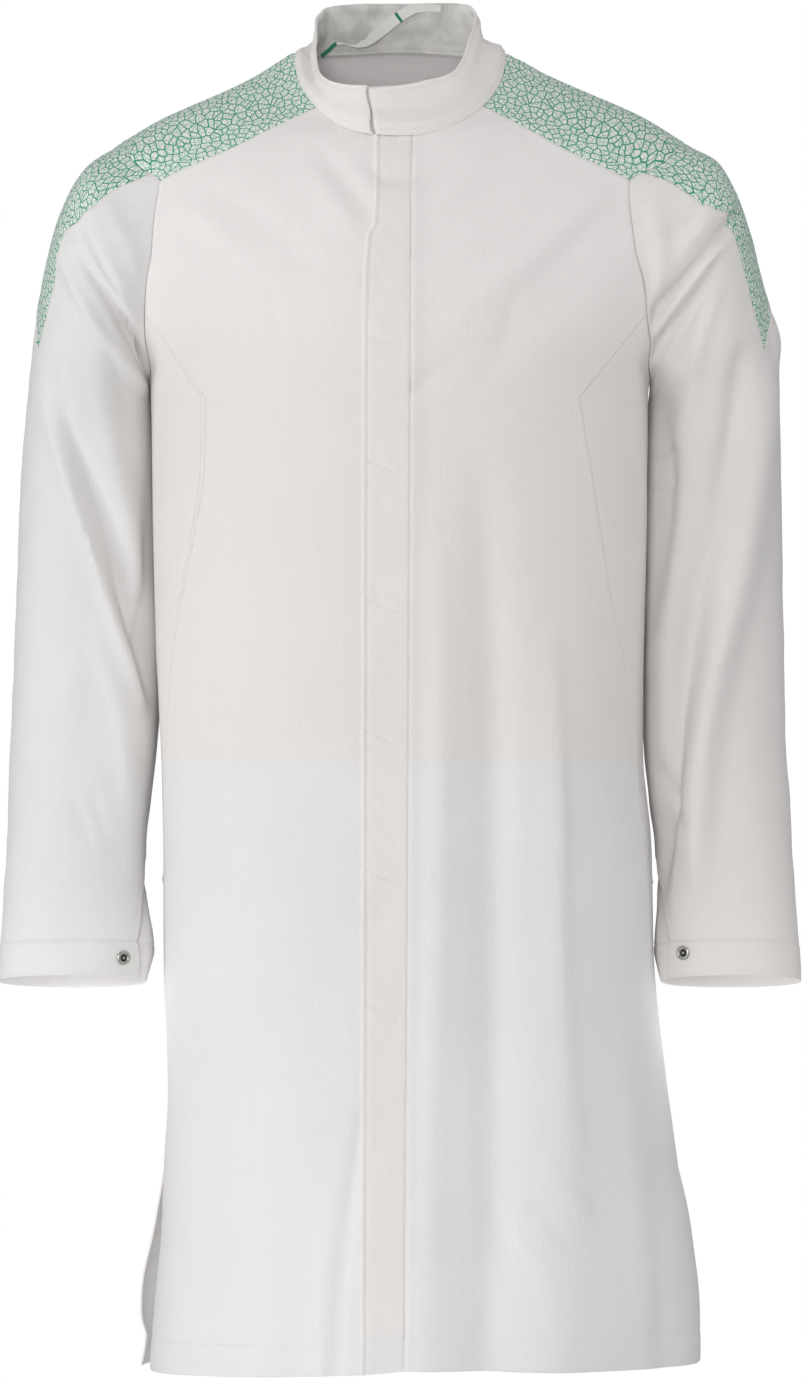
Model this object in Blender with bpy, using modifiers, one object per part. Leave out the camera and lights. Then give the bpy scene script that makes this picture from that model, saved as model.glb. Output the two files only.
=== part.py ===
"""Knee-length work coat with a standing collar, in the hollow form that it has when it is worn.

The cloth panels lie on two surfaces: the torso, whose sections are rounded rings stacked in height, and the
sleeve, lofted from the armhole to the cuff. Every panel is a sheet of rows read from one of them between its
seams, and Solidify gives it the thickness of the cloth. Neighbouring panels share their seam points.

Sizes are millimetres and become metres when a mesh is made. +X is the wearer's left, -Y the front, +Z up.
The origin is between the shoulders, level with the side of the neck, where the wearer carries the coat.
"""

from collections import namedtuple
from math import asin, copysign, cos, degrees, exp, pi, radians, sin

import bpy
from mathutils import Vector

MM = 0.001

# Cloth and clearances
CLOTH = 1.4
COLLAR_WALL = 2.2
TAPE_WALL = 1.0
GAP = 0.3
SEAM_PULL = 0.25
SMALL_PULL = 0.5

# Front closing: the fly strip lies over both fronts, which meet under its left stitching
Strip = namedtuple("Strip", "z edge stitch")
PLACKET = [
    Strip(-1095, -31.7, 3.2),
    Strip(-790, -31.3, 5.6),
    Strip(-460, -31.0, 7.3),
    Strip(-120, -27.7, 9.0),
]
PLACKET_TOP_DROP = 2.6
COLLAR_UNDER_X = 6.0
COLLAR_OVER_X = -19.6
COLLAR_LEAN = -10.0

# Neck seam, seen from above, and the top edge of the collar
NECK = dict(half=87.5, mid=12.0, front=90.0, back=50.0, power=0.9)
CollarEdge = namedtuple("CollarEdge", "angle x y z")
COLLAR_TOP = [
    CollarEdge(-180, 0.0, 60.0, 53.0),
    CollarEdge(-160, -38.0, 56.0, 52.0),
    CollarEdge(-140, -63.5, 44.0, 46.5),
    CollarEdge(-120, -71.0, 24.0, 33.0),
    CollarEdge(-100, -70.0, 5.0, 14.0),
    CollarEdge(-80, -69.0, -18.0, -4.0),
    CollarEdge(-62, -65.0, -42.0, -19.0),
    CollarEdge(-45, -52.0, -58.0, -29.0),
    CollarEdge(-25, -30.0, -66.0, -33.0),
    CollarEdge(0, 0.0, -64.0, -31.4),
    CollarEdge(25, 24.0, -57.0, -26.9),
    CollarEdge(45, 43.0, -49.0, -18.9),
    CollarEdge(62, 52.0, -36.0, -3.5),
    CollarEdge(80, 57.0, -20.0, 14.0),
    CollarEdge(100, 62.0, 2.0, 29.0),
    CollarEdge(120, 64.0, 22.0, 39.0),
    CollarEdge(140, 57.0, 42.0, 49.0),
    CollarEdge(160, 38.0, 56.0, 53.0),
    CollarEdge(180, 0.0, 60.0, 53.0),
]
Hollow = namedtuple("Hollow", "height plain shelf")
COLLAR_HOLLOW = [
    Hollow(0.0, 0.0, 0.0),
    Hollow(0.18, -2.3, -2.8),
    Hollow(0.34, -1.3, -0.4),
    Hollow(0.5, -0.2, 5.0),
    Hollow(0.72, 0.0, 1.4),
    Hollow(1.0, 0.0, 0.0),
]
# Neck directions between which the collar has its side shelf: where it begins, is full, and ends again
COLLAR_SIDES = (38.0, 78.0, 108.0, 150.0)
COLLAR_LAP_DROP = 3.5
COLLAR_ROWS = (0.0, 0.18, 0.34, 0.5, 0.72, 1.0)

# Armhole, seen from the side
FRONT, BACK = -1, 1
RIGHT, LEFT = -1, 1

# Directions round the armhole and the sleeve, in degrees: 0 is the top or outer line, 90 the front, 180 the
# underarm seam. YOKE_AT and INSERT_AT are where the yoke's edge and the sleeve insert's edge meet the armhole.
YOKE_AT = 56.0
INSERT_AT = 48.0
ArmholePoint = namedtuple("ArmholePoint", "angle front_right front_left back z")
ARMHOLE_MID = 8.0
ARMHOLE = [
    ArmholePoint(0, 0.0, 0.0, 0.0, -71.0),
    ArmholePoint(22, 30.0, 31.0, 30.0, -77.0),
    ArmholePoint(44, 59.5, 62.0, 59.0, -99.0),
    ArmholePoint(56, 70.5, 74.0, 72.0, -110.0),
    ArmholePoint(70, 75.0, 80.5, 78.0, -138.0),
    ArmholePoint(85, 76.5, 82.5, 79.0, -166.0),
    ArmholePoint(100, 72.0, 78.0, 75.0, -194.0),
    ArmholePoint(120, 62.5, 70.0, 66.0, -220.0),
    ArmholePoint(140, 44.0, 50.0, 48.0, -245.0),
    ArmholePoint(160, 22.0, 25.0, 24.0, -262.0),
    ArmholePoint(180, 0.0, 0.0, 0.0, -268.0),
]
ARMHOLE_STEPS = (180.0, 160.0, 140.0, 120.0, 100.0, 85.0, 70.0, YOKE_AT, INSERT_AT)
INSERT_STEPS = (INSERT_AT, 22.0, 0.0, -22.0, -INSERT_AT)

# Neck seam directions in degrees from the centre front, where the yoke begins and ends
YOKE_NECK_FRONT = 49.5
YOKE_NECK_BACK = 128.0
NECK_COLUMNS = 3
YOKE_COLUMNS = 5
YOKE_ACROSS = 6
YOKE_FRONT_BOW = 12.0
YOKE_BACK_BOW = 4.0

Ring = namedtuple("Ring", "z half_width centre mid front back square")
TORSO = [
    Ring(-1095, 223.0, 20.0, 6.0, -150.0, 145.0, 2.2),
    Ring(-1027, 220.0, 20.0, 6.0, -149.0, 143.0, 2.2),
    Ring(-977, 217.0, 18.0, 6.0, -147.0, 141.0, 2.2),
    Ring(-927, 214.0, 17.0, 6.0, -145.0, 138.0, 2.2),
    Ring(-852, 208.0, 14.0, 6.0, -142.0, 132.0, 2.25),
    Ring(-752, 205.0, 7.5, 7.0, -137.0, 122.0, 2.3),
    Ring(-652, 203.5, 5.5, 8.0, -131.0, 110.0, 2.3),
    Ring(-586, 200.5, 1.5, 8.0, -128.0, 103.0, 2.3),
    Ring(-486, 203.0, 0.0, 8.0, -128.0, 105.0, 2.3),
    Ring(-377, 206.0, 0.0, 8.0, -133.0, 116.0, 2.25),
    Ring(-300, 207.0, 0.0, 8.0, -136.0, 125.0, 2.15),
    Ring(-268, 208.0, 0.0, 8.0, -135.0, 127.0, 2.1),
    Ring(-235, 226.0, 0.0, 8.0, -131.0, 127.0, 2.05),
    Ring(-210, 242.0, 0.0, 8.0, -126.0, 126.0, 2.0),
    Ring(-180, 256.0, 0.0, 8.0, -118.0, 123.0, 2.0),
    Ring(-150, 266.0, 0.0, 8.0, -109.0, 118.0, 2.0),
    Ring(-120, 270.0, 0.0, 8.0, -99.5, 112.0, 2.0),
    Ring(-92.5, 263.0, 1.0, 8.0, -88.0, 104.0, 2.0),
    Ring(-72.5, 236.5, 2.3, 8.0, -77.0, 98.0, 2.0),
    Ring(-52.5, 204.5, 3.3, 8.0, -58.5, 92.0, 2.0),
    Ring(-32.5, 161.0, 4.0, 9.0, -38.0, 84.0, 2.0),
    Ring(-12.5, 118.5, 1.8, 10.0, -17.0, 76.0, 2.0),
    Ring(-2.5, 102.5, 1.0, 12.0, -6.0, 71.5, 2.0),
    Ring(5, 88.5, -1.0, 17.0, 3.0, 68.0, 2.0),
    Ring(12, 58.0, 0.0, 34.0, 18.0, 62.0, 2.0),
    Ring(18, 10.0, 0.0, 46.0, 40.0, 52.0, 2.0),
]
SHOULDER_Z = (-118.0, 17.0)

# Where the side panel's front seam runs on the body, from the waist up; above the last row it meets the armhole
SeamPoint = namedtuple("SeamPoint", "z right left")
SIDE_SEAM_FRONT = [
    SeamPoint(-630, 196.0, 199.5),
    SeamPoint(-560, 193.5, 193.5),
    SeamPoint(-500, 189.0, 184.0),
    SeamPoint(-454, 182.0, 174.0),
    SeamPoint(-400, 172.0, 165.0),
    SeamPoint(-345, 164.0, 156.0),
    SeamPoint(-290, 163.0, 146.5),
]

# How far up from its point the side panel's lowest rows are, as shares of the way to its first full row
SIDE_TIP_SHARES = (0.06, 0.5)

# Heights of each panel row at the middle of the body and at the side, from the hem up
Row = namedtuple("Row", "centre side")
SKIRT_ROWS = [
    Row(-1074, -1093),
    Row(-1051, -1071),
    Row(-1003, -1020),
    Row(-957, -970),
    Row(-914, -925),
    Row(-860, -870),
    Row(-802, -810),
    Row(-744, -750),
    Row(-686, -690),
    Row(-628, -630),
]
BODICE_ROWS = [
    Row(-559, -560),
    Row(-500, -500),
    Row(-454, -454),
    Row(-400, -400),
    Row(-345, -345),
    Row(-289, -290),
]
FRONT_ARMHOLE_CENTRE = (-216.0, -178.0, -146.0, -112.0)
BACK_HEM_DROP = -26.0
BACK_SIDE_Z = (-560.0, -500.0, -454.0, -400.0, -350.0, -308.0, -268.0)
BACK_CENTRE_Z = (-560.0, -500.0, -454.0, -400.0, -350.0, -300.0, -252.0)
BACK_ARMHOLE_CENTRE = (-228.0, -200.0, -165.0, -130.0, -95.0, -60.0)
ROW_BEND_FROM, ROW_BEND_TO = -300.0, -80.0

# How much higher the hem lies at the side than the last skirt rows say, reached from HEM_RISE_FROM down
HEM_RISE_FROM = -1000.0
HEM_RISE = {RIGHT: 0.0, LEFT: 8.0}

# Side vents below VENT_TOP: how far each free edge stands out from the side and along the depth
VENT_TOP = -925.0
Vent = namedtuple("Vent", "z front_out front_fore back_out back_aft")
VENTS = {
    RIGHT: [
        Vent(-1095, 4.0, 8.0, 12.0, 7.0),
        Vent(-1071, 4.0, 8.0, 9.0, 7.0),
        Vent(-1048, 3.0, 8.0, 15.0, 7.0),
        Vent(-1027, 2.5, 8.0, 16.0, 7.0),
        Vent(-977, -1.0, 4.0, 7.0, 3.0),
        Vent(VENT_TOP, 0.0, 0.0, 0.0, 0.0),
    ],
    LEFT: [
        Vent(-1095, 5.0, 11.0, -1.0, 14.0),
        Vent(-1027, 8.0, 10.0, 0.0, 12.0),
        Vent(-977, 7.0, 6.0, 0.0, 6.0),
        Vent(VENT_TOP, 0.0, 0.0, 0.0, 0.0),
    ],
}

# Sleeve: two slanting rings shape the shoulder, each given by its outer, front, inner and back points
CapRing = namedtuple("CapRing", "outer_right outer_left front inner back")
CAP = [
    CapRing((258.5, 10, -94), (265, 10, -91), (238, -75, -170), (209.5, 14, -275), (236, 93, -168)),
    CapRing((290.5, 16, -156), (294.5, 16, -156), (257, -66, -222), (209.0, 24, -282), (257, 96, -222)),
]
# full is how full the ring is between its front and its inner line
ArmRing = namedtuple("ArmRing", "z inner_right inner_left outer_right outer_left mid half_depth pitch full")
ARM = [
    ArmRing(-292, 208.0, 208.5, 313.5, 319.0, 32.0, 71.0, 0.0, 2.15),
    ArmRing(-350, 205.0, 205.5, 318.5, 321.0, 43.0, 69.0, 0.0, 2.5),
    ArmRing(-430, 203.5, 204.0, 322.5, 322.0, 47.0, 69.0, 0.0, 3.0),
    ArmRing(-500, 202.5, 203.5, 324.5, 323.0, 47.0, 68.0, 0.03, 3.1),
    ArmRing(-560, 203.5, 204.0, 327.0, 324.0, 42.0, 65.0, 0.08, 3.0),
    ArmRing(-620, 210.0, 209.5, 329.0, 326.5, 31.0, 60.0, 0.13, 2.8),
    ArmRing(-660, 213.5, 214.0, 329.5, 328.5, 23.0, 56.0, 0.15, 2.5),
    ArmRing(-700, 211.5, 215.0, 331.0, 330.5, 15.0, 51.0, 0.14, 2.2),
    ArmRing(-741, 205.5, 212.5, 333.5, 333.0, 8.0, 48.0, 0.15, 2.15),
    ArmRing(-770.5, 212.0, 218.0, 335.0, 334.5, 3.0, 46.0, 0.17, 2.15),
]
CUFF_LINE_AT = 11.0
SLEEVE_END_AT = 12.0
SLEEVE_POWER = 2.0 / 2.15

# Patterned insert on the sleeve: half-width in degrees at each ring place, ending in a point
Insert = namedtuple("Insert", "at front back")
INSERT_TIP_AT = 2.62
INSERT_EDGES = {
    RIGHT: [
        Insert(0.0, INSERT_AT, -INSERT_AT),
        Insert(0.42, 54.2, -50.0),
        Insert(0.80, 61.0, -50.0),
        Insert(1.08, 65.0, -47.0),
        Insert(1.36, 61.5, -43.0),
        Insert(1.64, 47.5, -36.0),
        Insert(2.12, 49.8, -6.0),
        Insert(2.35, 45.0, 12.0),
        Insert(INSERT_TIP_AT, 35.5, 35.5),
    ],
    LEFT: [
        Insert(0.0, INSERT_AT, -INSERT_AT),
        Insert(0.37, 52.3, -50.0),
        Insert(0.61, 59.0, -50.0),
        Insert(0.92, 65.0, -48.0),
        Insert(1.19, 63.1, -46.0),
        Insert(1.40, 53.0, -42.0),
        Insert(1.68, 54.4, -34.0),
        Insert(2.27, 49.4, 8.0),
        Insert(INSERT_TIP_AT, 42.5, 42.5),
    ],
}

# Cuff slit: below it the front edge laps over the back edge, which is tucked under it
Slit = namedtuple("Slit", "at over under tuck")
SLIT = [
    Slit(9.2, 180.0, -180.0, 0.0),
    Slit(9.6, 174.0, -186.0, 4.0),
    Slit(10.0, 162.0, -204.0, 6.0),
    Slit(CUFF_LINE_AT, 141.0, -238.0, 7.0),
    Slit(SLEEVE_END_AT, 155.0, -232.0, 7.0),
]
TUCK_TURN = 20.0
TUCK_LEAD = 4.0
SLEEVE_ROWS = (0.0, 0.35, 0.75, 1.15, 1.55, 2.1, 2.35, INSERT_TIP_AT, 3.1, 3.55, 4.0, 4.5, 5.0, 5.5, 6.0, 6.5, 7.0,
               7.6, 8.2, 8.8, 9.2, 9.6, 10.0, 10.5, CUFF_LINE_AT)
CUFF_ROWS = (CUFF_LINE_AT, 11.5, SLEEVE_END_AT)
CUFF_PROUD = 0.5

# Ring snap on each cuff's lapping edge
Seat = namedtuple("Seat", "angle at")
SNAPS = {RIGHT: Seat(129.85, 11.467), LEFT: Seat(128.9, 11.33)}

# The largest folds of the sleeves: a trough or ridge from one place to another, in degrees and height
Fold = namedtuple("Fold", "angle_1 z_1 angle_2 z_2 width depth")
SLEEVE_FOLDS = {
    RIGHT: [
        Fold(52, -160, 132, -262, 13, -9.0),
        Fold(66, -290, 158, -500, 14, -9.0),
        Fold(80, -345, 160, -545, 13, 5.0),
        Fold(96, -245, 140, -430, 14, 4.0),
        Fold(150, -290, 168, -520, 17, -8.0),
        Fold(105, -470, 138, -690, 15, 3.0),
        Fold(-70, -470, -150, -520, 22, -7.0),
        Fold(-64, -190, -124, -280, 22, -4.0),
    ],
    LEFT: [
        Fold(42, -135, 132, -225, 13, -8.0),
        Fold(62, -175, 128, -245, 12, -5.0),
        Fold(49, -300, 115, -685, 15, 9.0),
        Fold(86, -395, 160, -700, 20, -9.0),
        Fold(146, -265, 156, -480, 16, -7.0),
        Fold(-72, -455, -148, -505, 22, -7.0),
        Fold(-62, -190, -122, -280, 22, -4.0),
        Fold(-12, -236, 26, -234, 20, 5.5),
    ],
}
DEGREE_OF_SLEEVE = 1.05

# The largest folds of the body: (x, z) to (x, z) on its front or back
BodyFold = namedtuple("BodyFold", "face x_1 z_1 x_2 z_2 width depth")
BODY_FOLDS = [
    BodyFold(FRONT, 78, -420, 82, -900, 34, -5.0),
    BodyFold(FRONT, 122, -480, 132, -1100, 30, 5.0),
    BodyFold(FRONT, -120, -760, -128, -1100, 36, 4.0),
    BodyFold(FRONT, 62, -900, 66, -1100, 30, -5.0),
    BodyFold(BACK, -95, -480, -105, -1110, 34, 6.0),
    BodyFold(BACK, 0, -520, 4, -1110, 36, -7.0),
    BodyFold(BACK, 98, -470, 110, -1110, 34, 6.0),
]

# Hanger loop: a tape against the inside of the collar, by degrees from the centre back and height on it, how far
# it stands off, its width there and how many degrees it is twisted
TapePoint = namedtuple("TapePoint", "angle height lift width twist")
TAPE = [
    TapePoint(49.8, 0.0, 0.0, 3.4, 0),
    TapePoint(41.8, 0.115, 0.2, 3.4, 4),
    TapePoint(35.0, 0.23, 0.4, 3.2, 8),
    TapePoint(30.2, 0.225, 0.6, 2.6, 14),
    TapePoint(26.0, 0.165, 0.8, 2.6, 20),
    TapePoint(21.8, 0.15, 1.0, 3.6, 26),
    TapePoint(17.0, 0.21, 1.2, 8.2, 24),
    TapePoint(13.0, 0.305, 1.4, 9.6, 18),
    TapePoint(9.0, 0.42, 1.4, 9.8, 12),
    TapePoint(4.8, 0.56, 1.2, 9.6, 6),
    TapePoint(0.8, 0.7, 0.9, 9.4, 2),
    TapePoint(-3.5, 0.83, 0.6, 9.0, -4),
    TapePoint(-8.0, 0.9, 0.4, 7.6, -10),
    TapePoint(-13.2, 0.905, 0.4, 6.6, -14),
    TapePoint(-18.5, 0.875, 0.2, 5.8, -8),
]
TAPE_SAMPLES = 24

# Ring snap: half-section of the cap, radius and height, outside first
SNAP_PROFILE = [(2.2, 0.2), (2.2, 1.4), (3.3, 2.0), (4.6, 2.1), (5.6, 1.6), (6.0, 0.9), (6.0, 0.0), (2.6, 0.0)]
SNAP_STEPS = 20

# Colours (RGB, alpha), roughness, metallic
FINISHES = {
    "white_cloth": ((0.86, 0.85, 0.84, 1.0), 0.85, 0.0),
    "printed_cloth": ((0.55, 0.78, 0.66, 1.0), 0.8, 0.0),
    "tape": ((0.83, 0.85, 0.82, 1.0), 0.8, 0.0),
    "nickel": ((0.55, 0.54, 0.52, 1.0), 0.35, 1.0),
}


# Reading the tables


def smooth_read(places, values, at):
    """Read a value from a table on a curve through its rows that never overshoots them."""
    last = len(places) - 1
    at = min(max(at, places[0]), places[-1])
    k = min(next(i for i in range(1, last + 1) if at <= places[i]), last) - 1
    steps = [places[i + 1] - places[i] for i in range(last)]
    rises = [(values[i + 1] - values[i]) / steps[i] for i in range(last)]

    def slope(i):
        if i == 0 or i == last:
            return rises[min(i, last - 1)]
        before, after = rises[i - 1], rises[i]
        if before * after <= 0:
            return 0.0
        weight_1 = 2 * steps[i] + steps[i - 1]
        weight_2 = steps[i] + 2 * steps[i - 1]
        return (weight_1 + weight_2) / (weight_1 / before + weight_2 / after)

    step = steps[k]
    t = (at - places[k]) / step
    rest = 1 - t
    return (
        values[k] * rest * rest * (1 + 2 * t)
        + values[k + 1] * t * t * (1 + 2 * rest)
        + step * slope(k) * t * rest * rest
        - step * slope(k + 1) * t * t * rest
    )


def straight_read(rows, key, value, at):
    """Read a column on straight lines between the rows."""
    if at <= getattr(rows[0], key):
        return getattr(rows[0], value)
    for low, high in zip(rows, rows[1:]):
        if at <= getattr(high, key):
            share = (at - getattr(low, key)) / (getattr(high, key) - getattr(low, key))
            return getattr(low, value) + share * (getattr(high, value) - getattr(low, value))
    return getattr(rows[-1], value)


def ramp(low, high, at):
    """Rise smoothly from 0 at low to 1 at high."""
    t = min(max((at - low) / (high - low), 0.0), 1.0)
    return t * t * (3 - 2 * t)


def power_of(value, power):
    """Raise a number's size to a power and keep its sign."""
    return copysign(abs(value) ** power, value)


# Torso surface

TORSO_Z = [ring.z for ring in TORSO]
TORSO_COLUMNS = {name: [getattr(ring, name) for ring in TORSO] for name in Ring._fields}
ring_cache = {}


def torso_ring(z):
    """The section of the torso at a height."""
    key = round(z, 4)
    if key not in ring_cache:
        ring_cache[key] = Ring(*[smooth_read(TORSO_Z, TORSO_COLUMNS[name], z) for name in Ring._fields])
    return ring_cache[key]


def torso_point(face, turn, z):
    """A point on the torso: turn runs from 0 at the middle to 90 degrees at the wearer's left side."""
    ring = torso_ring(z)
    power = 2.0 / ring.square
    side = power_of(sin(radians(turn)), power)
    depth = max(cos(radians(turn)), 0.0) ** power
    reach = ring.front if face == FRONT else ring.back
    return Vector((ring.centre + ring.half_width * side, ring.mid + (reach - ring.mid) * depth, z))


def turn_at(x, z):
    """The turn of the torso section at a height where it passes x."""
    ring = torso_ring(z)
    share = min(max((x - ring.centre) / ring.half_width, -1.0), 1.0)
    return degrees(asin(power_of(share, ring.square / 2.0)))


def shoulder_height(x, y):
    """Height of the torso surface above a place between the neck and the armhole."""
    low, high = SHOULDER_Z
    for _ in range(40):
        z = (low + high) / 2
        ring = torso_ring(z)
        reach = (ring.mid - ring.front) if y < ring.mid else (ring.back - ring.mid)
        outside = abs((x - ring.centre) / ring.half_width) ** ring.square + abs((y - ring.mid) / reach) ** ring.square > 1
        low, high = (low, z) if outside else (z, high)
    return (low + high) / 2


def armhole_point(side, angle):
    """A point of the armhole seam, at an angle from its top, positive through the front."""
    angle = (angle + 180.0) % 360.0 - 180.0
    places = [row.angle for row in ARMHOLE]
    z = smooth_read(places, [row.z for row in ARMHOLE], abs(angle))
    column = "back" if angle < 0 else "front_right" if side == RIGHT else "front_left"
    depth = smooth_read(places, [getattr(row, column) for row in ARMHOLE], abs(angle))
    y = ARMHOLE_MID - copysign(depth, angle)
    ring = torso_ring(z)
    reach = (ring.mid - ring.front) if y < ring.mid else (ring.back - ring.mid)
    inside = max(1 - abs((y - ring.mid) / reach) ** ring.square, 0.0)
    return Vector((ring.centre + side * ring.half_width * inside ** (1 / ring.square), y, z))


def neck_plan(shape, angle):
    """A point of a neck outline seen from above, at an angle from the centre front, positive to the left."""
    turn = radians(angle)
    reach = shape["front"] if cos(turn) > 0 else shape["back"]
    x = shape["half"] * power_of(sin(turn), shape["power"])
    y = shape["mid"] - reach * power_of(cos(turn), shape["power"])
    return x, y


def neck_point(angle):
    """A point of the neck seam, which lies on the torso."""
    x, y = neck_plan(NECK, angle)
    return Vector((x, y, shoulder_height(x, y)))


def neck_angle_at(x):
    """The front neck angle that passes x."""
    return degrees(asin(power_of(x / NECK["half"], 1 / NECK["power"])))


def strip_x(z, share):
    """Where the fly strip lies at a height: share 0 at its stitching and 1 at its free edge."""
    stitch = straight_read(PLACKET, "z", "stitch", z)
    return stitch + (straight_read(PLACKET, "z", "edge", z) - stitch) * share


def vent_shift(side, face, turn, z):
    """How far the free edges beside a side vent stand away from the section."""
    if z >= VENT_TOP:
        return Vector()
    rows = VENTS[side]
    places = [row.z for row in rows]
    near_edge = ramp(48.0, 90.0, abs(turn))
    out_name, along_name = ("front_out", "front_fore") if face == FRONT else ("back_out", "back_aft")
    out = smooth_read(places, [getattr(row, out_name) for row in rows], z)
    along = smooth_read(places, [getattr(row, along_name) for row in rows], z)
    return Vector((side * out, face * along, 0.0)) * near_edge


def body_fold(face, x, z):
    """Depth of the body's folds at a place on the front or back."""
    total = 0.0
    for fold in BODY_FOLDS:
        if fold.face != face:
            continue
        along = (z - fold.z_1) / (fold.z_2 - fold.z_1)
        middle = fold.x_1 + (fold.x_2 - fold.x_1) * along
        fade = ramp(0.0, 0.45, along)
        total += fold.depth * fade * exp(-(((x - middle) / fold.width) ** 2))
    return total


def body_point(face, turn, z):
    """A point of the coat's body with its folds and vents."""
    point = torso_point(face, turn, z)
    side = RIGHT if turn < 0 else LEFT
    flat = cos(radians(turn))
    point.y += face * body_fold(face, point.x, z) * flat
    return point + vent_shift(side, face, turn, z)


def body_normal(face, turn, z):
    """Outward direction of the body at a point away from the side seams."""
    across = body_point(face, turn + 0.5, z) - body_point(face, turn - 0.5, z)
    up = body_point(face, turn, z + 1.0) - body_point(face, turn, z - 1.0)
    normal = across.cross(up).normalized()
    return normal if normal.y * face > 0 else -normal


# Sleeve surface


def ring_blend(outer, front, inner, back, angle):
    """A point of a rounded ring through four points, outer at 0 degrees and front at 90."""
    middle = (outer + inner) / 2
    turn = radians(angle)
    along = outer - middle if cos(turn) > 0 else inner - middle
    across = front - middle if sin(turn) > 0 else back - middle
    return middle + along * abs(cos(turn)) ** SLEEVE_POWER + across * abs(sin(turn)) ** SLEEVE_POWER


def arm_ring(side, ring, angle):
    """A point of one of the sleeve's nearly level rings."""
    inner = ring.inner_right if side == RIGHT else ring.inner_left
    outer = ring.outer_right if side == RIGHT else ring.outer_left
    centre = (inner + outer) / 2
    turn = radians(angle)
    power = 2.0 / ring.full if cos(turn) < 0 < sin(turn) else SLEEVE_POWER
    x = centre + (outer - centre) * power_of(cos(turn), power)
    y = ring.mid - ring.half_depth * power_of(sin(turn), power)
    return Vector((side * x, y, ring.z - ring.pitch * (y - ring.mid)))


def sleeve_ring(side, number, angle):
    """A point of the sleeve's ring number: the armhole, the two cap rings, then the arm's rings."""
    if number == 0:
        return armhole_point(side, angle)
    if number <= len(CAP):
        ring = CAP[number - 1]
        outer = ring.outer_right if side == RIGHT else ring.outer_left
        points = [Vector((side * x, y, z)) for x, y, z in (outer, ring.front, ring.inner, ring.back)]
        return ring_blend(*points, angle)
    return arm_ring(side, ARM[number - 1 - len(CAP)], angle)


RING_NUMBERS = list(range(1 + len(CAP) + len(ARM)))
RING_PLACES = []
for ring_number in RING_NUMBERS:
    reach_to = sleeve_ring(LEFT, ring_number, 0.0)
    before = sleeve_ring(LEFT, max(ring_number - 1, 0), 0.0)
    RING_PLACES.append((RING_PLACES[-1] if RING_PLACES else 0.0) + (reach_to - before).length)


def sleeve_smooth(side, angle, at):
    """A point of the sleeve without folds; at counts its rings from the armhole."""
    low = min(int(at), len(RING_NUMBERS) - 2)
    place = RING_PLACES[low] + (at - low) * (RING_PLACES[low + 1] - RING_PLACES[low])
    first = max(low - 1, 0)
    numbers = RING_NUMBERS[first:low + 3]
    rings = [sleeve_ring(side, number, angle) for number in numbers]
    places = [RING_PLACES[number] for number in numbers]
    return Vector([smooth_read(places, [ring[axis] for ring in rings], place) for axis in range(3)])


def sleeve_fold(side, angle, z, at):
    """Depth of the sleeve's folds at a place."""
    total = 0.0
    turned = angle if angle > -180 else angle + 360
    for fold in SLEEVE_FOLDS[side]:
        run = Vector(((fold.angle_2 - fold.angle_1) * DEGREE_OF_SLEEVE, fold.z_2 - fold.z_1))
        place = Vector(((turned - fold.angle_1) * DEGREE_OF_SLEEVE, z - fold.z_1))
        along = place.dot(run) / run.length_squared
        apart = abs(place.cross(run)) / run.length
        fade = ramp(-0.15, 0.3, along) * (1 - ramp(0.75, 1.15, along))
        total += fold.depth * fade * exp(-((apart / fold.width) ** 2))
    return total * ramp(0.0, 0.7, at) * (1 - ramp(8.2, 10.2, at))


def sleeve_normal(side, angle, at):
    """Outward direction of the sleeve."""
    step = 0.02
    along = sleeve_smooth(side, angle, min(at + step, SLEEVE_END_AT)) - sleeve_smooth(side, angle, max(at - step, 0))
    around = sleeve_smooth(side, angle + 1.0, at) - sleeve_smooth(side, angle - 1.0, at)
    normal = around.cross(along).normalized() * side
    return normal


def tuck_depth(angle, at):
    """How far the back edge of the cuff slit lies below the front one."""
    over = straight_read(SLIT, "at", "over", at) - 360.0
    amount = straight_read(SLIT, "at", "tuck", at)
    return amount * ramp(0.0, TUCK_TURN, over + TUCK_TURN + TUCK_LEAD - angle)


def sleeve_point(side, angle, at, proud=0.0):
    """A point of the sleeve with its folds and its tucked cuff edge."""
    point = sleeve_smooth(side, angle, at)
    normal = sleeve_normal(side, angle, at)
    return point + normal * (sleeve_fold(side, angle, point.z, at) + proud - tuck_depth(angle, at))


# Sheets and objects


def pulled_in(rows, gap=SEAM_PULL):
    """Move a sheet's border in a little, so that neighbours stay apart through their thickness."""
    drawn = [[point.copy() for point in row] for row in rows]
    for j, row in enumerate(rows):
        for end, inner in ((0, 1), (-1, -2)):
            drawn[j][end] += (row[inner] - row[end]).normalized() * gap
    for end, inner in ((0, 1), (-1, -2)):
        for i in range(len(rows[0])):
            drawn[end][i] += (rows[inner][i] - rows[end][i]).normalized() * gap
    return drawn


def finish(name):
    """The material of a finish, made once."""
    material = bpy.data.materials.get(name)
    if material is None:
        colour, roughness, metallic = FINISHES[name]
        material = bpy.data.materials.new(name)
        material.use_nodes = True
        shader = material.node_tree.nodes["Principled BSDF"]
        shader.inputs["Base Color"].default_value = colour
        shader.inputs["Roughness"].default_value = roughness
        shader.inputs["Metallic"].default_value = metallic
    return material


def place_object(name, data, finish_name, collection):
    """Link an object with its finish."""
    piece = bpy.data.objects.new(name, data)
    data.materials.append(finish(finish_name))
    collection.objects.link(piece)
    return piece


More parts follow.
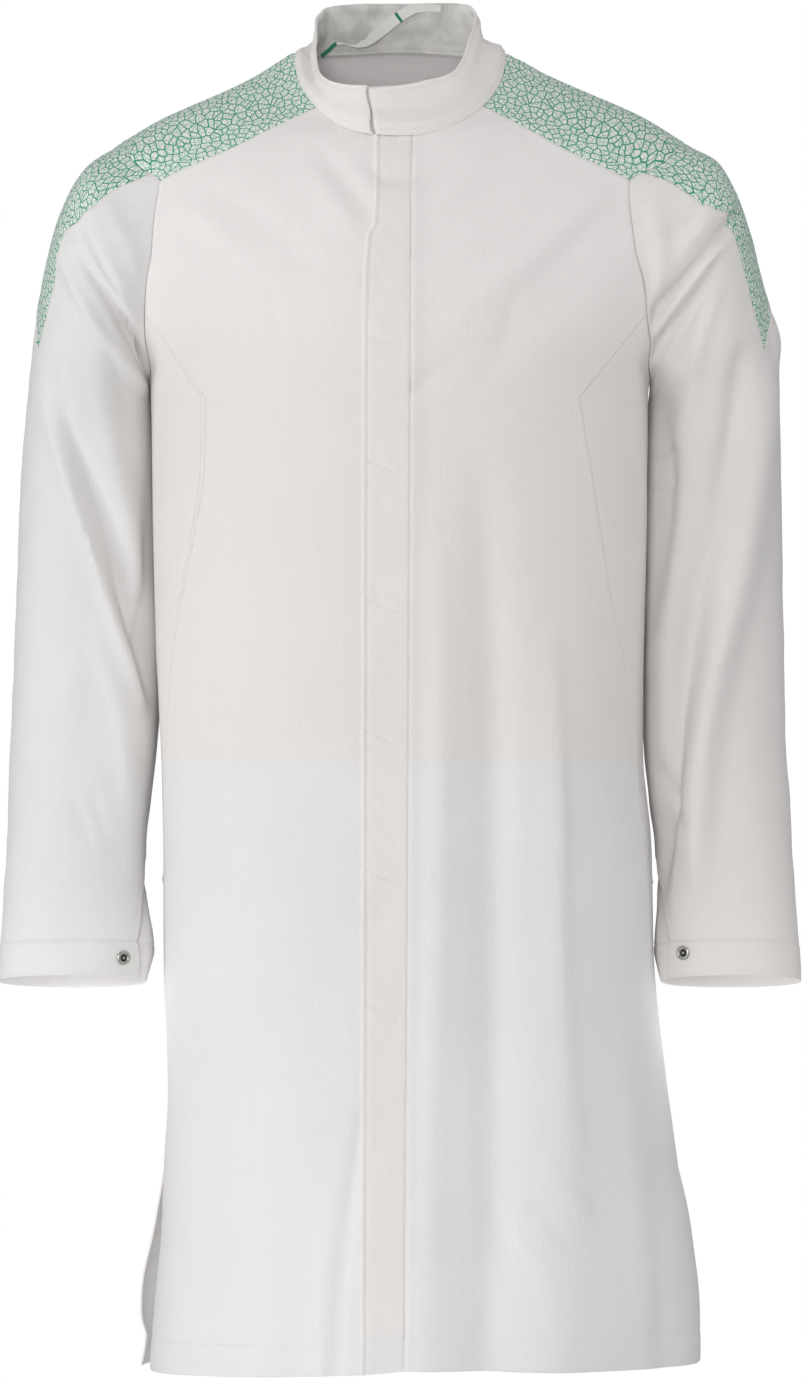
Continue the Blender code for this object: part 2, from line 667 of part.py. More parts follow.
def cloth_piece(name, sheets, finish_name, collection, wall=CLOTH, weld=0.05):
    """A cloth piece: one or more sheets of rows, welded where they share points, with its thickness inwards."""
    points, faces = [], []
    for rows in sheets:
        start, columns = len(points), len(rows[0])
        points += [point * MM for row in rows for point in row]
        for j in range(len(rows) - 1):
            for i in range(columns - 1):
                corner = start + j * columns + i
                faces.append((corner, corner + 1, corner + columns + 1, corner + columns))
    mesh = bpy.data.meshes.new(name)
    mesh.from_pydata(points, [], faces)
    mesh.shade_smooth()
    piece = place_object(name, mesh, finish_name, collection)
    if len(sheets) > 1:
        join = piece.modifiers.new("join", "WELD")
        join.merge_threshold = weld * MM
    thickness = piece.modifiers.new("cloth", "SOLIDIFY")
    thickness.thickness = wall * MM
    thickness.offset = -1.0
    return piece


def facing_out(rows, outward):
    """Order a sheet's columns so that its faces point outwards at its middle."""
    j, i = len(rows) // 2, len(rows[0]) // 2
    across = rows[j][i] - rows[j][i - 1]
    up = rows[j][i] - rows[j - 1][i]
    return rows if across.cross(up).dot(outward) > 0 else [row[::-1] for row in rows]


# Body panels


def panel_rows(face, under_shares, first_share, edge, centre_z, top):
    """Rows of a body panel from the hem up.

    under_shares are columns that run under the fly strip, first_share is where on the strip the other columns
    begin (None for the middle of the back), edge gives (turn, z) at the side end of each row, centre_z the
    height at the middle, and top the points of the last row.
    """
    under = len(under_shares)
    spread = len(top) - under
    top_x = [point.x for point in top[under:]]
    shares = [(x - top_x[0]) / (top_x[-1] - top_x[0]) for x in top_x]
    lean = [point.z - (top[0].z + (top[-1].z - top[0].z) * i / (len(top) - 1)) for i, point in enumerate(top)]
    rows = []
    for (end_turn, end_z), middle_z in zip(edge, centre_z):
        bend = ramp(ROW_BEND_FROM, ROW_BEND_TO, middle_z)
        end_x = torso_point(face, end_turn, end_z).x
        row = []
        for i in range(len(top)):
            share = i / (len(top) - 1)
            z = middle_z + (end_z - middle_z) * share + bend * lean[i]
            if i < under:
                turn = turn_at(strip_x(z, under_shares[i]), z)
            else:
                k = i - under
                start_x = 0.0 if first_share is None else strip_x(z, first_share)
                first = turn_at(start_x, z)
                even = first + (end_turn - first) * k / (spread - 1)
                level = turn_at(start_x + (end_x - start_x) * shares[k], z)
                turn = end_turn if k == spread - 1 else even + (level - even) * bend
            row.append(body_point(face, turn, z))
        rows.append(row)
    rows.append(top)
    return rows


def yoke_edge(side, face):
    """Points of the yoke's front or back edge from the neck to the armhole."""
    neck_angle = YOKE_NECK_FRONT if face == FRONT else YOKE_NECK_BACK
    start = neck_point(side * neck_angle)
    end = armhole_point(side, YOKE_AT if face == FRONT else -YOKE_AT)
    points = [start]
    for k in range(1, YOKE_COLUMNS):
        share = k / YOKE_COLUMNS
        x = start.x + (end.x - start.x) * share
        bow = YOKE_FRONT_BOW if face == FRONT else YOKE_BACK_BOW
        y = start.y + (end.y - start.y) * share + face * bow * sin(pi * share)
        points.append(Vector((x, y, shoulder_height(x, y))))
    return points + [end]


def front_top(side, first_x):
    """Top edge of a front: the neck seam, then the yoke seam."""
    first = side * neck_angle_at(first_x)
    step = (YOKE_NECK_FRONT - first) / NECK_COLUMNS
    neck = [neck_point(side * (first + step * k)) for k in range(NECK_COLUMNS)]
    return neck + yoke_edge(side, FRONT)


def side_seam_x(side):
    """Where the side panel's front seam lies, by height."""
    return {row.z: side * (row.right if side == RIGHT else row.left) for row in SIDE_SEAM_FRONT}


def skirt_edge(side, rows):
    """Side end of skirt rows, with the rise of the hem there."""
    return [(side * 90.0, row.side + HEM_RISE[side] * ramp(HEM_RISE_FROM, -1093.0, row.side)) for row in rows]


def front_edge(side):
    """Side end of each front row: side seam, side panel seam, then armhole."""
    edge = skirt_edge(side, SKIRT_ROWS[:-1])
    seam = side_seam_x(side)
    for row in SKIRT_ROWS[-1:] + BODICE_ROWS:
        edge.append((turn_at(seam[row.side], row.side), row.side))
    for angle in ARMHOLE_STEPS[3:7]:
        point = armhole_point(side, angle)
        edge.append((turn_at(point.x, point.z), point.z))
    return edge


def front_panel(side):
    """Rows of a front. The right front runs on under the fly strip."""
    shares = [0.0, 0.5] if side == RIGHT else []
    first_share = 1.0 if side == RIGHT else 0.0
    top_z = PLACKET[-1].z
    top = [neck_point(neck_angle_at(strip_x(top_z, share))) for share in shares]
    top += front_top(side, strip_x(top_z, first_share))
    centre_z = [row.centre for row in SKIRT_ROWS + BODICE_ROWS] + list(FRONT_ARMHOLE_CENTRE)
    return panel_rows(FRONT, shares, first_share, front_edge(side), centre_z, top)


def placket_panel():
    """Rows of the fly strip, on the fronts' own points moved out."""
    lift = GAP + CLOTH
    rows = []
    for row in front_panel(RIGHT):
        drawn = [point + body_normal(FRONT, turn_at(point.x, point.z), point.z) * lift for point in row[:3]]
        rows.append(drawn)
    rows[-1] = [point + (below - point).normalized() * PLACKET_TOP_DROP for point, below in zip(rows[-1], rows[-2])]
    return rows


def side_panel(side):
    """Rows of the side panel: a wedge from a point on the side seam below the waist to the bottom of the armhole."""
    seam = side_seam_x(side)
    front_z = [row.side for row in SKIRT_ROWS[-1:] + BODICE_ROWS]
    back_z = [front_z[0]] + list(BACK_SIDE_Z)
    columns = 3
    rows = []
    for z_front, z_back in zip(front_z, back_z):
        first = turn_at(seam[z_front], z_front)
        row = []
        for i in range(columns + 1):
            share = i / columns
            z = z_front + (z_back - z_front) * share
            row.append(body_point(FRONT, first + (side * 90.0 - first) * share, z))
        rows.append(row)
    rows.append([armhole_point(side, angle) for angle in ARMHOLE_STEPS[3::-1]])
    tip = body_point(FRONT, side * 90.0, SKIRT_ROWS[-2].side)
    tips = [[tip + (point - tip) * share for point in rows[0]] for share in SIDE_TIP_SHARES]
    return tips + rows


def back_half(side):
    """Rows of half the back, from the centre to the side."""
    step = (180.0 - YOKE_NECK_BACK) / NECK_COLUMNS
    neck = [neck_point(side * (180.0 - step * k)) for k in range(NECK_COLUMNS)]
    top = neck + yoke_edge(side, BACK)
    edge = skirt_edge(side, SKIRT_ROWS) + [(side * 90.0, z) for z in BACK_SIDE_Z]
    for angle in ARMHOLE_STEPS[1:7]:
        point = armhole_point(side, -angle)
        edge.append((turn_at(point.x, point.z), point.z))
    drop = [BACK_HEM_DROP * ramp(-925.0, -1074.0, row.centre) for row in SKIRT_ROWS]
    centre_z = [row.centre + down for row, down in zip(SKIRT_ROWS, drop)]
    centre_z += list(BACK_CENTRE_Z) + list(BACK_ARMHOLE_CENTRE)
    return panel_rows(BACK, [], None, edge, centre_z, top)


def back_panel():
    """Rows of the whole back, side to side."""
    right, left = back_half(RIGHT), back_half(LEFT)
    return [row_right[:0:-1] + row_left for row_right, row_left in zip(right, left)]


def yoke_panel(side):
    """Rows of a shoulder yoke from its front edge over the shoulder to its back edge."""
    front, back = yoke_edge(side, FRONT), yoke_edge(side, BACK)
    neck_step = (YOKE_NECK_BACK - YOKE_NECK_FRONT) / YOKE_ACROSS
    neck = [neck_point(side * (YOKE_NECK_FRONT + neck_step * k)) for k in range(YOKE_ACROSS + 1)]
    arm_angles = [YOKE_AT, *INSERT_STEPS, -YOKE_AT]
    arm = [armhole_point(side, angle) for angle in arm_angles]
    rows = []
    for j in range(YOKE_ACROSS + 1):
        across = j / YOKE_ACROSS
        row = []
        for i in range(YOKE_COLUMNS + 1):
            along = i / YOKE_COLUMNS
            flat = neck[j] * (1 - along) + arm[j] * along + front[i] * (1 - across) + back[i] * across
            corners = (front[0] * (1 - along) + front[-1] * along) * (1 - across)
            corners += (back[0] * (1 - along) + back[-1] * along) * across
            point = flat - corners
            on_border = i in (0, YOKE_COLUMNS) or j in (0, YOKE_ACROSS)
            if not on_border:
                point.z = shoulder_height(point.x, point.y)
            row.append(point)
        rows.append(row)
    return rows


# Sleeve pieces


def insert_edge(side, face_column, at):
    """Angle of the insert's edge at a ring place, and of its tip below."""
    return straight_read(INSERT_EDGES[side], "at", face_column, at)


def half_sleeve_row(side, face_column, at, proud=0.0):
    """One row of the front or back half of a sleeve, from the insert's edge to the underarm seam."""
    steps = ARMHOLE_STEPS[::-1]
    shares = [(angle - steps[0]) / (steps[-1] - steps[0]) for angle in steps]
    edge = insert_edge(side, face_column, at)
    end = straight_read(SLIT, "at", "over" if face_column == "front" else "under", at)
    angles = [edge + (end - edge) * share for share in shares]
    return [sleeve_point(side, angle, at, proud) for angle in angles]


def sleeve_panel(side):
    """The sleeve as two sheets that join below the insert's tip and part at the underarm seam."""
    fronts = [half_sleeve_row(side, "front", at) for at in SLEEVE_ROWS]
    backs = [half_sleeve_row(side, "back", at) for at in SLEEVE_ROWS]
    tip_row = SLEEVE_ROWS.index(INSERT_TIP_AT)
    fronts, backs = pulled_in(fronts), pulled_in(backs)
    for j, at in enumerate(SLEEVE_ROWS):
        if j >= tip_row:
            shared = (fronts[j][0] + backs[j][0]) / 2
            fronts[j][0], backs[j][0] = shared.copy(), shared.copy()
    return fronts, backs


def insert_panel(side):
    """Rows of the sleeve's patterned insert, from the armhole to just above its tip."""
    rows = []
    for at in SLEEVE_ROWS:
        if at > INSERT_TIP_AT:
            break
        if at == INSERT_TIP_AT:
            at -= 0.03
        front, back = insert_edge(side, "front", at), insert_edge(side, "back", at)
        shares = [(INSERT_AT - angle) / (2 * INSERT_AT) for angle in INSERT_STEPS]
        rows.append([sleeve_point(side, front + (back - front) * share, at) for share in shares])
    return rows


def cuff_panel(side):
    """Rows of the cuff band, one sheet from the lapping edge round to the tucked edge."""
    rows = []
    for at in CUFF_ROWS:
        front = half_sleeve_row(side, "front", at, CUFF_PROUD)
        back = half_sleeve_row(side, "back", at, CUFF_PROUD)
        rows.append(front[::-1] + back[1:])
    return rows


# Collar and hanger loop


def collar_top_point(angle):
    """A point of the collar's top edge."""
    angle = (angle + 180.0) % 360.0 - 180.0
    places = [row.angle for row in COLLAR_TOP]
    return Vector([smooth_read(places, [getattr(row, axis) for row in COLLAR_TOP], angle) for axis in "xyz"])


def collar_point(angle, height, out=0.0):
    """A point of the collar: height 0 at the neck seam and 1 at the top edge."""
    foot, head = neck_point(angle), collar_top_point(angle)
    point = foot + (head - foot) * height
    around = neck_point(angle + 1) - neck_point(angle - 1)
    normal = around.cross(head - foot).normalized()
    turn = abs((angle + 180.0) % 360.0 - 180.0)
    begin, full, fall, end = COLLAR_SIDES
    beside = ramp(begin, full, turn) * (1 - ramp(fall, end, turn))
    plain = straight_read(COLLAR_HOLLOW, "height", "plain", height)
    shelf = straight_read(COLLAR_HOLLOW, "height", "shelf", height)
    return point + normal * (out - plain - (shelf - plain) * beside)


def collar_angles():
    """Neck directions of the collar's columns: from its under end, round the back, to its lapping end."""
    strip_top = PLACKET[-1]
    first = neck_angle_at(strip_top.edge)
    step = (-YOKE_NECK_FRONT - first) / NECK_COLUMNS
    right = [first + step * k for k in range(NECK_COLUMNS)]
    yoke_step = (YOKE_NECK_BACK - YOKE_NECK_FRONT) / YOKE_ACROSS
    right += [-(YOKE_NECK_FRONT + yoke_step * k) for k in range(YOKE_ACROSS)]
    back_step = (180.0 - YOKE_NECK_BACK) / NECK_COLUMNS
    right += [-(YOKE_NECK_BACK + back_step * k) for k in range(NECK_COLUMNS)]
    back_to_left = [-180.0]
    back_to_left += [-360.0 + YOKE_NECK_BACK + back_step * k for k in range(NECK_COLUMNS - 1, -1, -1)]
    back_to_left += [-360.0 + YOKE_NECK_FRONT + yoke_step * k for k in range(YOKE_ACROSS - 1, -1, -1)]
    left_first = neck_angle_at(strip_top.stitch)
    left_step = (YOKE_NECK_FRONT - left_first) / NECK_COLUMNS
    back_to_left += [-360.0 + left_first + left_step * k for k in range(NECK_COLUMNS - 1, -1, -1)]
    middle = (strip_top.edge + strip_top.stitch) / 2
    under_end = [neck_angle_at(x) for x in (COLLAR_UNDER_X, middle)]
    over_end = [-360.0 + neck_angle_at(x) for x in (middle, COLLAR_OVER_X)]
    return under_end + right + back_to_left + over_end


def collar_panel():
    """Rows of the collar. It winds outwards a little, so that its lapping end passes over its under end."""
    angles = collar_angles()
    wind = COLLAR_WALL + GAP + 0.2
    rows = []
    for height in COLLAR_ROWS:
        row = []
        for column, angle in enumerate(angles):
            share = (angles[0] - angle) / (angles[0] - angles[-1])
            leaning = max(0.0, (column - (len(angles) - 3)) / 2) * COLLAR_LEAN * height
            row.append(collar_point(angle + leaning, height, wind * (share - 0.5)))
        rows.append(row)
    for column in (-1, -2, -3):
        rows[-1][column].z -= COLLAR_LAP_DROP * (4 + column) / 3
    rows[0] = [foot + (upper - foot).normalized() * GAP for foot, upper in zip(rows[0], rows[1])]
    return rows


def tape_panel():
    """Rows of the hanger loop's tape, across its width, clear of the collar's inside."""
    places = list(range(len(TAPE)))
    centre = []
    for k in range(TAPE_SAMPLES + 1):
        at = (len(TAPE) - 1) * k / TAPE_SAMPLES
        columns = [[getattr(point, name) for point in TAPE] for name in TapePoint._fields]
        centre.append([smooth_read(places, column, at) for column in columns])
    middles = [collar_point(180.0 + angle, height, -COLLAR_WALL - 2.0 - lift) for angle, height, lift, *_ in centre]
    rows = []
    for k, (angle, height, lift, width, twist) in enumerate(centre):
        along = middles[min(k + 1, TAPE_SAMPLES)] - middles[max(k - 1, 0)]
        outward = collar_point(180.0 + angle, height, 1.0) - collar_point(180.0 + angle, height, 0.0)
        flat = along.cross(outward.normalized()).normalized()
        across = flat * cos(radians(twist)) + outward.normalized() * sin(radians(twist))
        rows.append([middles[k] - across * (width / 2), middles[k] + across * (width / 2)])
    return rows


# Snaps


def snap_piece(name, side, collection):
    """A ring snap on the cuff's lapping edge, turned from its half-section."""
    seat = sleeve_point(side, *SNAPS[side], CUFF_PROUD)
    normal = sleeve_normal(side, *SNAPS[side])
    mesh = bpy.data.meshes.new(name)
    profile = [Vector((radius * MM, 0.0, height * MM)) for radius, height in SNAP_PROFILE]
    count = len(profile)
    mesh.from_pydata(profile, [(k, (k + 1) % count) for k in range(count)], [])
    snap = place_object(name, mesh, "nickel", collection)
    turned = snap.modifiers.new("turned", "SCREW")
    turned.steps = turned.render_steps = SNAP_STEPS
    turned.merge_threshold = 0.00001
    turned.use_merge_vertices = True
    turned.use_normal_calculate = True
    snap.rotation_mode = "QUATERNION"
    snap.rotation_quaternion = normal.to_track_quat("Z", "Y")
    snap.location = (seat + normal * GAP) * MM
    return snap


# The coat


def build_coat():
    """Make every piece of the coat."""
    for old in list(bpy.data.objects):
        bpy.data.objects.remove(old)
    coat = bpy.data.collections.new("work_coat")
    bpy.context.scene.collection.children.link(coat)

    fore, aft = Vector((0, -1, 0)), Vector((0, 1, 0))
    for side, name in ((RIGHT, "right"), (LEFT, "left")):
        outward = Vector((side, 0, 0))
        over = Vector((0, 0, 1))
        cloth_piece(f"front_{name}", [facing_out(pulled_in(front_panel(side)), fore)], "white_cloth", coat)
        cloth_piece(f"side_{name}", [facing_out(pulled_in(side_panel(side)), outward)], "white_cloth", coat)
        cloth_piece(f"yoke_{name}", [facing_out(pulled_in(yoke_panel(side), SMALL_PULL), over)], "printed_cloth", coat)
        fronts, backs = sleeve_panel(side)
        halves = [facing_out(fronts, fore), facing_out(backs, aft)]
        cloth_piece(f"sleeve_{name}", halves, "white_cloth", coat)
        cloth_piece(f"insert_{name}", [facing_out(pulled_in(insert_panel(side), SMALL_PULL), outward)], "printed_cloth", coat)
        cloth_piece(f"cuff_{name}", [facing_out(pulled_in(cuff_panel(side), SMALL_PULL), outward)], "white_cloth", coat)
        snap_piece(f"snap_{name}", side, coat)
    cloth_piece("back", [facing_out(pulled_in(back_panel()), aft)], "white_cloth", coat)
    cloth_piece("placket", [facing_out(placket_panel(), fore)], "white_cloth", coat)
    cloth_piece("collar", [facing_out(collar_panel(), aft)], "white_cloth", coat, COLLAR_WALL)
    cloth_piece("hanger_loop", [facing_out(tape_panel(), aft)], "tape", coat, TAPE_WALL)


build_coat()
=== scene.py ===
"""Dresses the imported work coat: woven panels with seams, stitching, folds, print, tape loop and ring snaps.

Every cloth piece is a grid of points on one of two forms, the body or the sleeve, which have the same sizes
as the coat's solids. Sizes are millimetres and become metres when a mesh is made. +X is the wearer's left,
-Y the front and +Z up. The origin is between the shoulders, level with the side of the neck.
"""

from __future__ import annotations

import logging
import math
from dataclasses import dataclass, field
from enum import Enum
from typing import Iterable, Sequence

import bmesh
import bpy
import numpy as np
from mathutils import Matrix, Vector

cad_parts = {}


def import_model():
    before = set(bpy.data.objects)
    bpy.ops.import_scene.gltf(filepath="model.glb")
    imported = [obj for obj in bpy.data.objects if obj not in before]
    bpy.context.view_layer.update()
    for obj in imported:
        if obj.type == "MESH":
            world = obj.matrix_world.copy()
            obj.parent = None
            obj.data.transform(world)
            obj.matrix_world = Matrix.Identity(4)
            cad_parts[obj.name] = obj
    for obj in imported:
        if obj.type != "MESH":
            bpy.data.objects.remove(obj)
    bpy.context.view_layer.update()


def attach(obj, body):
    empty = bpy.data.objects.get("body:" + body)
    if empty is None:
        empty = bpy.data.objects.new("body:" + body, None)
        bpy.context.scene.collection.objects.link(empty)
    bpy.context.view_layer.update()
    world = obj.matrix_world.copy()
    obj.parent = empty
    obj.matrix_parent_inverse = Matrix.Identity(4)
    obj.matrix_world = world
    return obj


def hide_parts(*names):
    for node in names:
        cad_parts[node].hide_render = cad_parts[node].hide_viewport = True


LOG = logging.getLogger("work_coat")
MM = 0.001
Array = np.ndarray
Line = tuple[Array, Array]
Colour = tuple[float, float, float, float]
Place = tuple[float, float, float]


class Side(Enum):
    """The wearer's right or left."""

    RIGHT = -1
    LEFT = 1

    @property
    def word(self) -> str:
        """The side's name in a piece's name."""
        return self.name.lower()


class Face(Enum):
    """Front or back of the body."""

    FRONT = -1
    BACK = 1


class Edge(Enum):
    """An edge of a sheet's grid: (axis, index)."""

    FIRST_ROW = (0, 0)
    LAST_ROW = (0, -1)
    FIRST_COLUMN = (1, 0)
    LAST_COLUMN = (1, -1)


# Reading tables


def shape_slopes(places: Array, values: Array) -> Array:
    """Find slopes for a smooth curve through values that never overshoots them.

    Args:
        places: rising places of the values.
        values: the values, one row for each place.

    Returns:
        The slope at each value, in the same shape.
    """
    steps = np.diff(places).reshape((-1,) + (1,) * (values.ndim - 1))
    rises = np.diff(values, axis=0) / steps
    slopes = np.empty_like(values)
    slopes[0], slopes[-1] = rises[0], rises[-1]
    before, after = rises[:-1], rises[1:]
    weight_1 = 2 * steps[1:] + steps[:-1]
    weight_2 = steps[1:] + 2 * steps[:-1]
    turns = before * after <= 0
    before, after = np.where(turns, 1.0, before), np.where(turns, 1.0, after)
    slopes[1:-1] = np.where(turns, 0.0, (weight_1 + weight_2) / (weight_1 / before + weight_2 / after))
    return slopes


def flow(places: Sequence[float], values: Array, at: Array | float) -> Array:
    """Read a table on a smooth curve through its rows.

    Args:
        places: rising places of the rows.
        values: rows of k numbers, or such rows for every point of `at`.
        at: where to read.

    Returns:
        Values in the shape of `at`, with a last axis of k numbers.
    """
    places, values = np.asarray(places, float), np.asarray(values, float)
    at = np.clip(np.asarray(at, float), places[0], places[-1])
    low = np.clip(np.searchsorted(places, at) - 1, 0, len(places) - 2)
    slopes = shape_slopes(places, values)
    if values.ndim == 2:
        ends = values[low], values[low + 1], slopes[low], slopes[low + 1]
    else:
        index = low[None, ..., None]
        ends = tuple(
            np.take_along_axis(source, index + more, axis=0)[0]
            for source, more in ((values, 0), (values, 1), (slopes, 0), (slopes, 1))
        )
    step = (places[low + 1] - places[low])[..., None]
    t = (at - places[low])[..., None] / step
    rest = 1 - t
    begin, end, leave, arrive = ends
    return (
        begin * rest * rest * (1 + 2 * t)
        + end * t * t * (1 + 2 * rest)
        + step * leave * t * rest * rest
        - step * arrive * t * t * rest
    )


def ramp(low: float, high: float, at: Array | float) -> Array:
    """Rise smoothly from 0 at low to 1 at high."""
    t = np.clip((np.asarray(at, float) - low) / (high - low), 0.0, 1.0)
    return t * t * (3 - 2 * t)


def signed_power(value: Array, power: Array | float) -> Array:
    """Raise a number's size to a power and keep its sign."""
    return np.sign(value) * np.abs(value) ** power


def bell(at: Array, centre: float, width: float) -> Array:
    """A smooth hump, 1 high at its centre and 0.37 at a width from it."""
    return np.exp(-(((at - centre) / width) ** 2))


def run_along(points: Array) -> Array:
    """How far along a line of points each of them lies."""
    return np.concatenate([[0.0], np.cumsum(np.linalg.norm(np.diff(points, axis=0), axis=1))])


def read_line(at: float, places: Array, rows: Array) -> Array:
    """The place or direction at a distance along a line of them."""
    return np.array([np.interp(at, places, rows[:, axis]) for axis in range(3)])


def unit(vectors: Array) -> Array:
    """Scale vectors to length 1."""
    return vectors / np.maximum(np.linalg.norm(vectors, axis=-1, keepdims=True), 1e-9)


def fine_steps(length: float, spacing: float, near: Sequence[float], keep: Sequence[float] = ()) -> Array:
    """Shares from 0 to 1 along a length, closer together near both ends.

    Args:
        length: the length in millimetres.
        spacing: the usual distance between steps.
        near: distances from each end that get a step of their own.
        keep: shares that have to be among the steps.

    Returns:
        Rising shares, 0 and 1 included.
    """
    first = near[-1] / length if near else 0.0
    count = max(2, round((1 - 2 * first) * length / spacing))
    middle = np.linspace(first, 1 - first, count + 1)
    ends = np.array([distance / length for distance in near[:-1]])
    steps = np.concatenate([ends, middle, 1 - ends, [0.0, 1.0]])
    for share in keep:
        nearest = np.argmin(np.abs(steps - share))
        steps[nearest] = share
    return np.unique(np.round(steps, 6))


def blended_noise(points: Array, size: float, seed: int) -> Array:
    """A soft random field made of slanting waves.

    Args:
        points: places in millimetres, with any leading shape.
        size: the usual distance between its hills.
        seed: which field.

    Returns:
        Values of about -1 to 1.
    """
    random = np.random.default_rng(seed)
    total = np.zeros(points.shape[:-1])
    for _ in range(9):
        direction = random.normal(size=3)
        direction /= np.linalg.norm(direction)
        length = size * random.uniform(0.75, 1.7)
        total += np.sin(points @ direction * (2 * math.pi / length) + random.uniform(0, 2 * math.pi))
    return total / 3.6


# Sizes of the forms


# Level sections of the body: height, half-width, centre, mid, front, back and squareness
TORSO = np.array(
    (
        (-1095, 223.0, 20.0, 6.0, -150.0, 145.0, 2.2), (-1027, 220.0, 20.0, 6.0, -149.0, 143.0, 2.2),
        (-977, 217.0, 18.0, 6.0, -147.0, 141.0, 2.2), (-927, 214.0, 17.0, 6.0, -145.0, 138.0, 2.2),
        (-852, 208.0, 14.0, 6.0, -142.0, 132.0, 2.25), (-752, 205.0, 7.5, 7.0, -137.0, 122.0, 2.3),
        (-652, 203.5, 5.5, 8.0, -131.0, 110.0, 2.3), (-586, 200.5, 1.5, 8.0, -128.0, 103.0, 2.3),
        (-486, 203.0, 0.0, 8.0, -128.0, 105.0, 2.3), (-377, 206.0, 0.0, 8.0, -133.0, 116.0, 2.25),
        (-300, 207.0, 0.0, 8.0, -136.0, 125.0, 2.15), (-268, 208.0, 0.0, 8.0, -135.0, 127.0, 2.1),
        (-235, 226.0, 0.0, 8.0, -131.0, 127.0, 2.05), (-210, 242.0, 0.0, 8.0, -126.0, 126.0, 2.0),
        (-180, 256.0, 0.0, 8.0, -118.0, 123.0, 2.0), (-150, 266.0, 0.0, 8.0, -109.0, 118.0, 2.0),
        (-120, 270.0, 0.0, 8.0, -99.5, 112.0, 2.0), (-92.5, 263.0, 1.0, 8.0, -88.0, 104.0, 2.0),
        (-72.5, 236.5, 2.3, 8.0, -77.0, 98.0, 2.0), (-52.5, 204.5, 3.3, 8.0, -58.5, 92.0, 2.0),
        (-32.5, 161.0, 4.0, 9.0, -38.0, 84.0, 2.0), (-12.5, 118.5, 1.8, 10.0, -17.0, 76.0, 2.0),
        (-2.5, 102.5, 1.0, 12.0, -6.0, 71.5, 2.0), (5, 88.5, -1.0, 17.0, 3.0, 68.0, 2.0),
        (12, 58.0, 0.0, 34.0, 18.0, 62.0, 2.0), (18, 10.0, 0.0, 46.0, 40.0, 52.0, 2.0),
    )
)
SHOULDER_Z = (-118.0, 17.0)


@dataclass(frozen=True)
class NeckOutline:
    """The neck seam seen from above."""

    half: float = 87.5
    mid: float = 12.0
    front: float = 90.0
    back: float = 50.0
    power: float = 0.9


NECK = NeckOutline()

# Armhole seam: angle from its top, depth of its front on each side and of its back, height
ARMHOLE = np.array(
    (
        (0, 0.0, 0.0, 0.0, -71.0), (22, 30.0, 31.0, 30.0, -77.0), (44, 59.5, 62.0, 59.0, -99.0),
        (56, 70.5, 74.0, 72.0, -110.0), (70, 75.0, 80.5, 78.0, -138.0), (85, 76.5, 82.5, 79.0, -166.0),
        (100, 72.0, 78.0, 75.0, -194.0), (120, 62.5, 70.0, 66.0, -220.0), (140, 44.0, 50.0, 48.0, -245.0),
        (160, 22.0, 25.0, 24.0, -262.0), (180, 0.0, 0.0, 0.0, -268.0),
    )
)
ARMHOLE_MID = 8.0
YOKE_AT = 56.0
INSERT_AT = 48.0
FRONT_ARM_STEPS = (120.0, 100.0, 85.0, 70.0, YOKE_AT)
BACK_ARM_STEPS = (180.0, 160.0, 140.0, 120.0, 100.0, 85.0, 70.0, YOKE_AT)
YOKE_ARM_STEPS = (YOKE_AT, INSERT_AT, 22.0, 0.0, -22.0, -INSERT_AT, -YOKE_AT)

YOKE_NECK_FRONT = 49.5
YOKE_NECK_BACK = 128.0
NECK_COLUMNS = 3
YOKE_COLUMNS = 5
NECK_SHARE = NECK_COLUMNS / (NECK_COLUMNS + YOKE_COLUMNS)
YOKE_FRONT_BOW = 12.0
YOKE_BACK_BOW = 4.0

# Fly strip: height, its free edge and its stitching
PLACKET = np.array(
    (
        (-1095, -31.7, 3.2), (-790, -31.3, 5.6), (-460, -31.0, 7.3), (-240, -30.4, 8.3), (-185, -29.2, 8.6),
        (-158, -26.9, 8.8), (-148, -21.6, 8.9), (-120, -20.8, 9.0),
    )
)
PLACKET_TOP = -120.0
PLACKET_TOP_DROP = 2.6

# Front seam of the side panel: height, distance from the middle on the right and on the left
SIDE_SEAM = np.array(
    (
        (-630, 196.0, 199.5), (-560, 193.5, 193.5), (-500, 189.0, 184.0), (-454, 182.0, 174.0),
        (-400, 172.0, 165.0), (-345, 164.0, 156.0), (-290, 163.0, 146.5),
    )
)
SKIRT_CENTRE_Z = (-1074, -1051, -1003, -957, -914, -860, -802, -744, -686, -628)
SKIRT_SIDE_Z = (-1093, -1071, -1020, -970, -925, -870, -810, -750, -690, -630)
BODICE_CENTRE_Z = (-559, -500, -454, -400, -345, -289)
BODICE_SIDE_Z = (-560, -500, -454, -400, -345, -290)
FRONT_ARM_CENTRE_Z = (-216.0, -178.0, -146.0, -112.0)
BACK_HEM_DROP = -26.0
BACK_SIDE_Z = (-560.0, -500.0, -454.0, -400.0, -350.0, -308.0, -268.0)
BACK_CENTRE_Z = (-560.0, -500.0, -454.0, -400.0, -350.0, -300.0, -252.0)
BACK_ARM_CENTRE_Z = (-228.0, -200.0, -165.0, -130.0, -95.0, -60.0)
ROW_BEND = (-300.0, -80.0)
# Row numbers of the body's tables: vent's top, side panel's low and high end, armhole's bottom
VENT_ROW, WEDGE_ROW, CORNER_ROW, ARM_ROW = 4, 9, 15, 16

# How much higher the hem lies at the side than the last rows say, reached from HEM_RISE_FROM down
HEM_RISE_FROM = -1000.0
HEM_RISE = {Side.RIGHT: 0.0, Side.LEFT: 8.0}

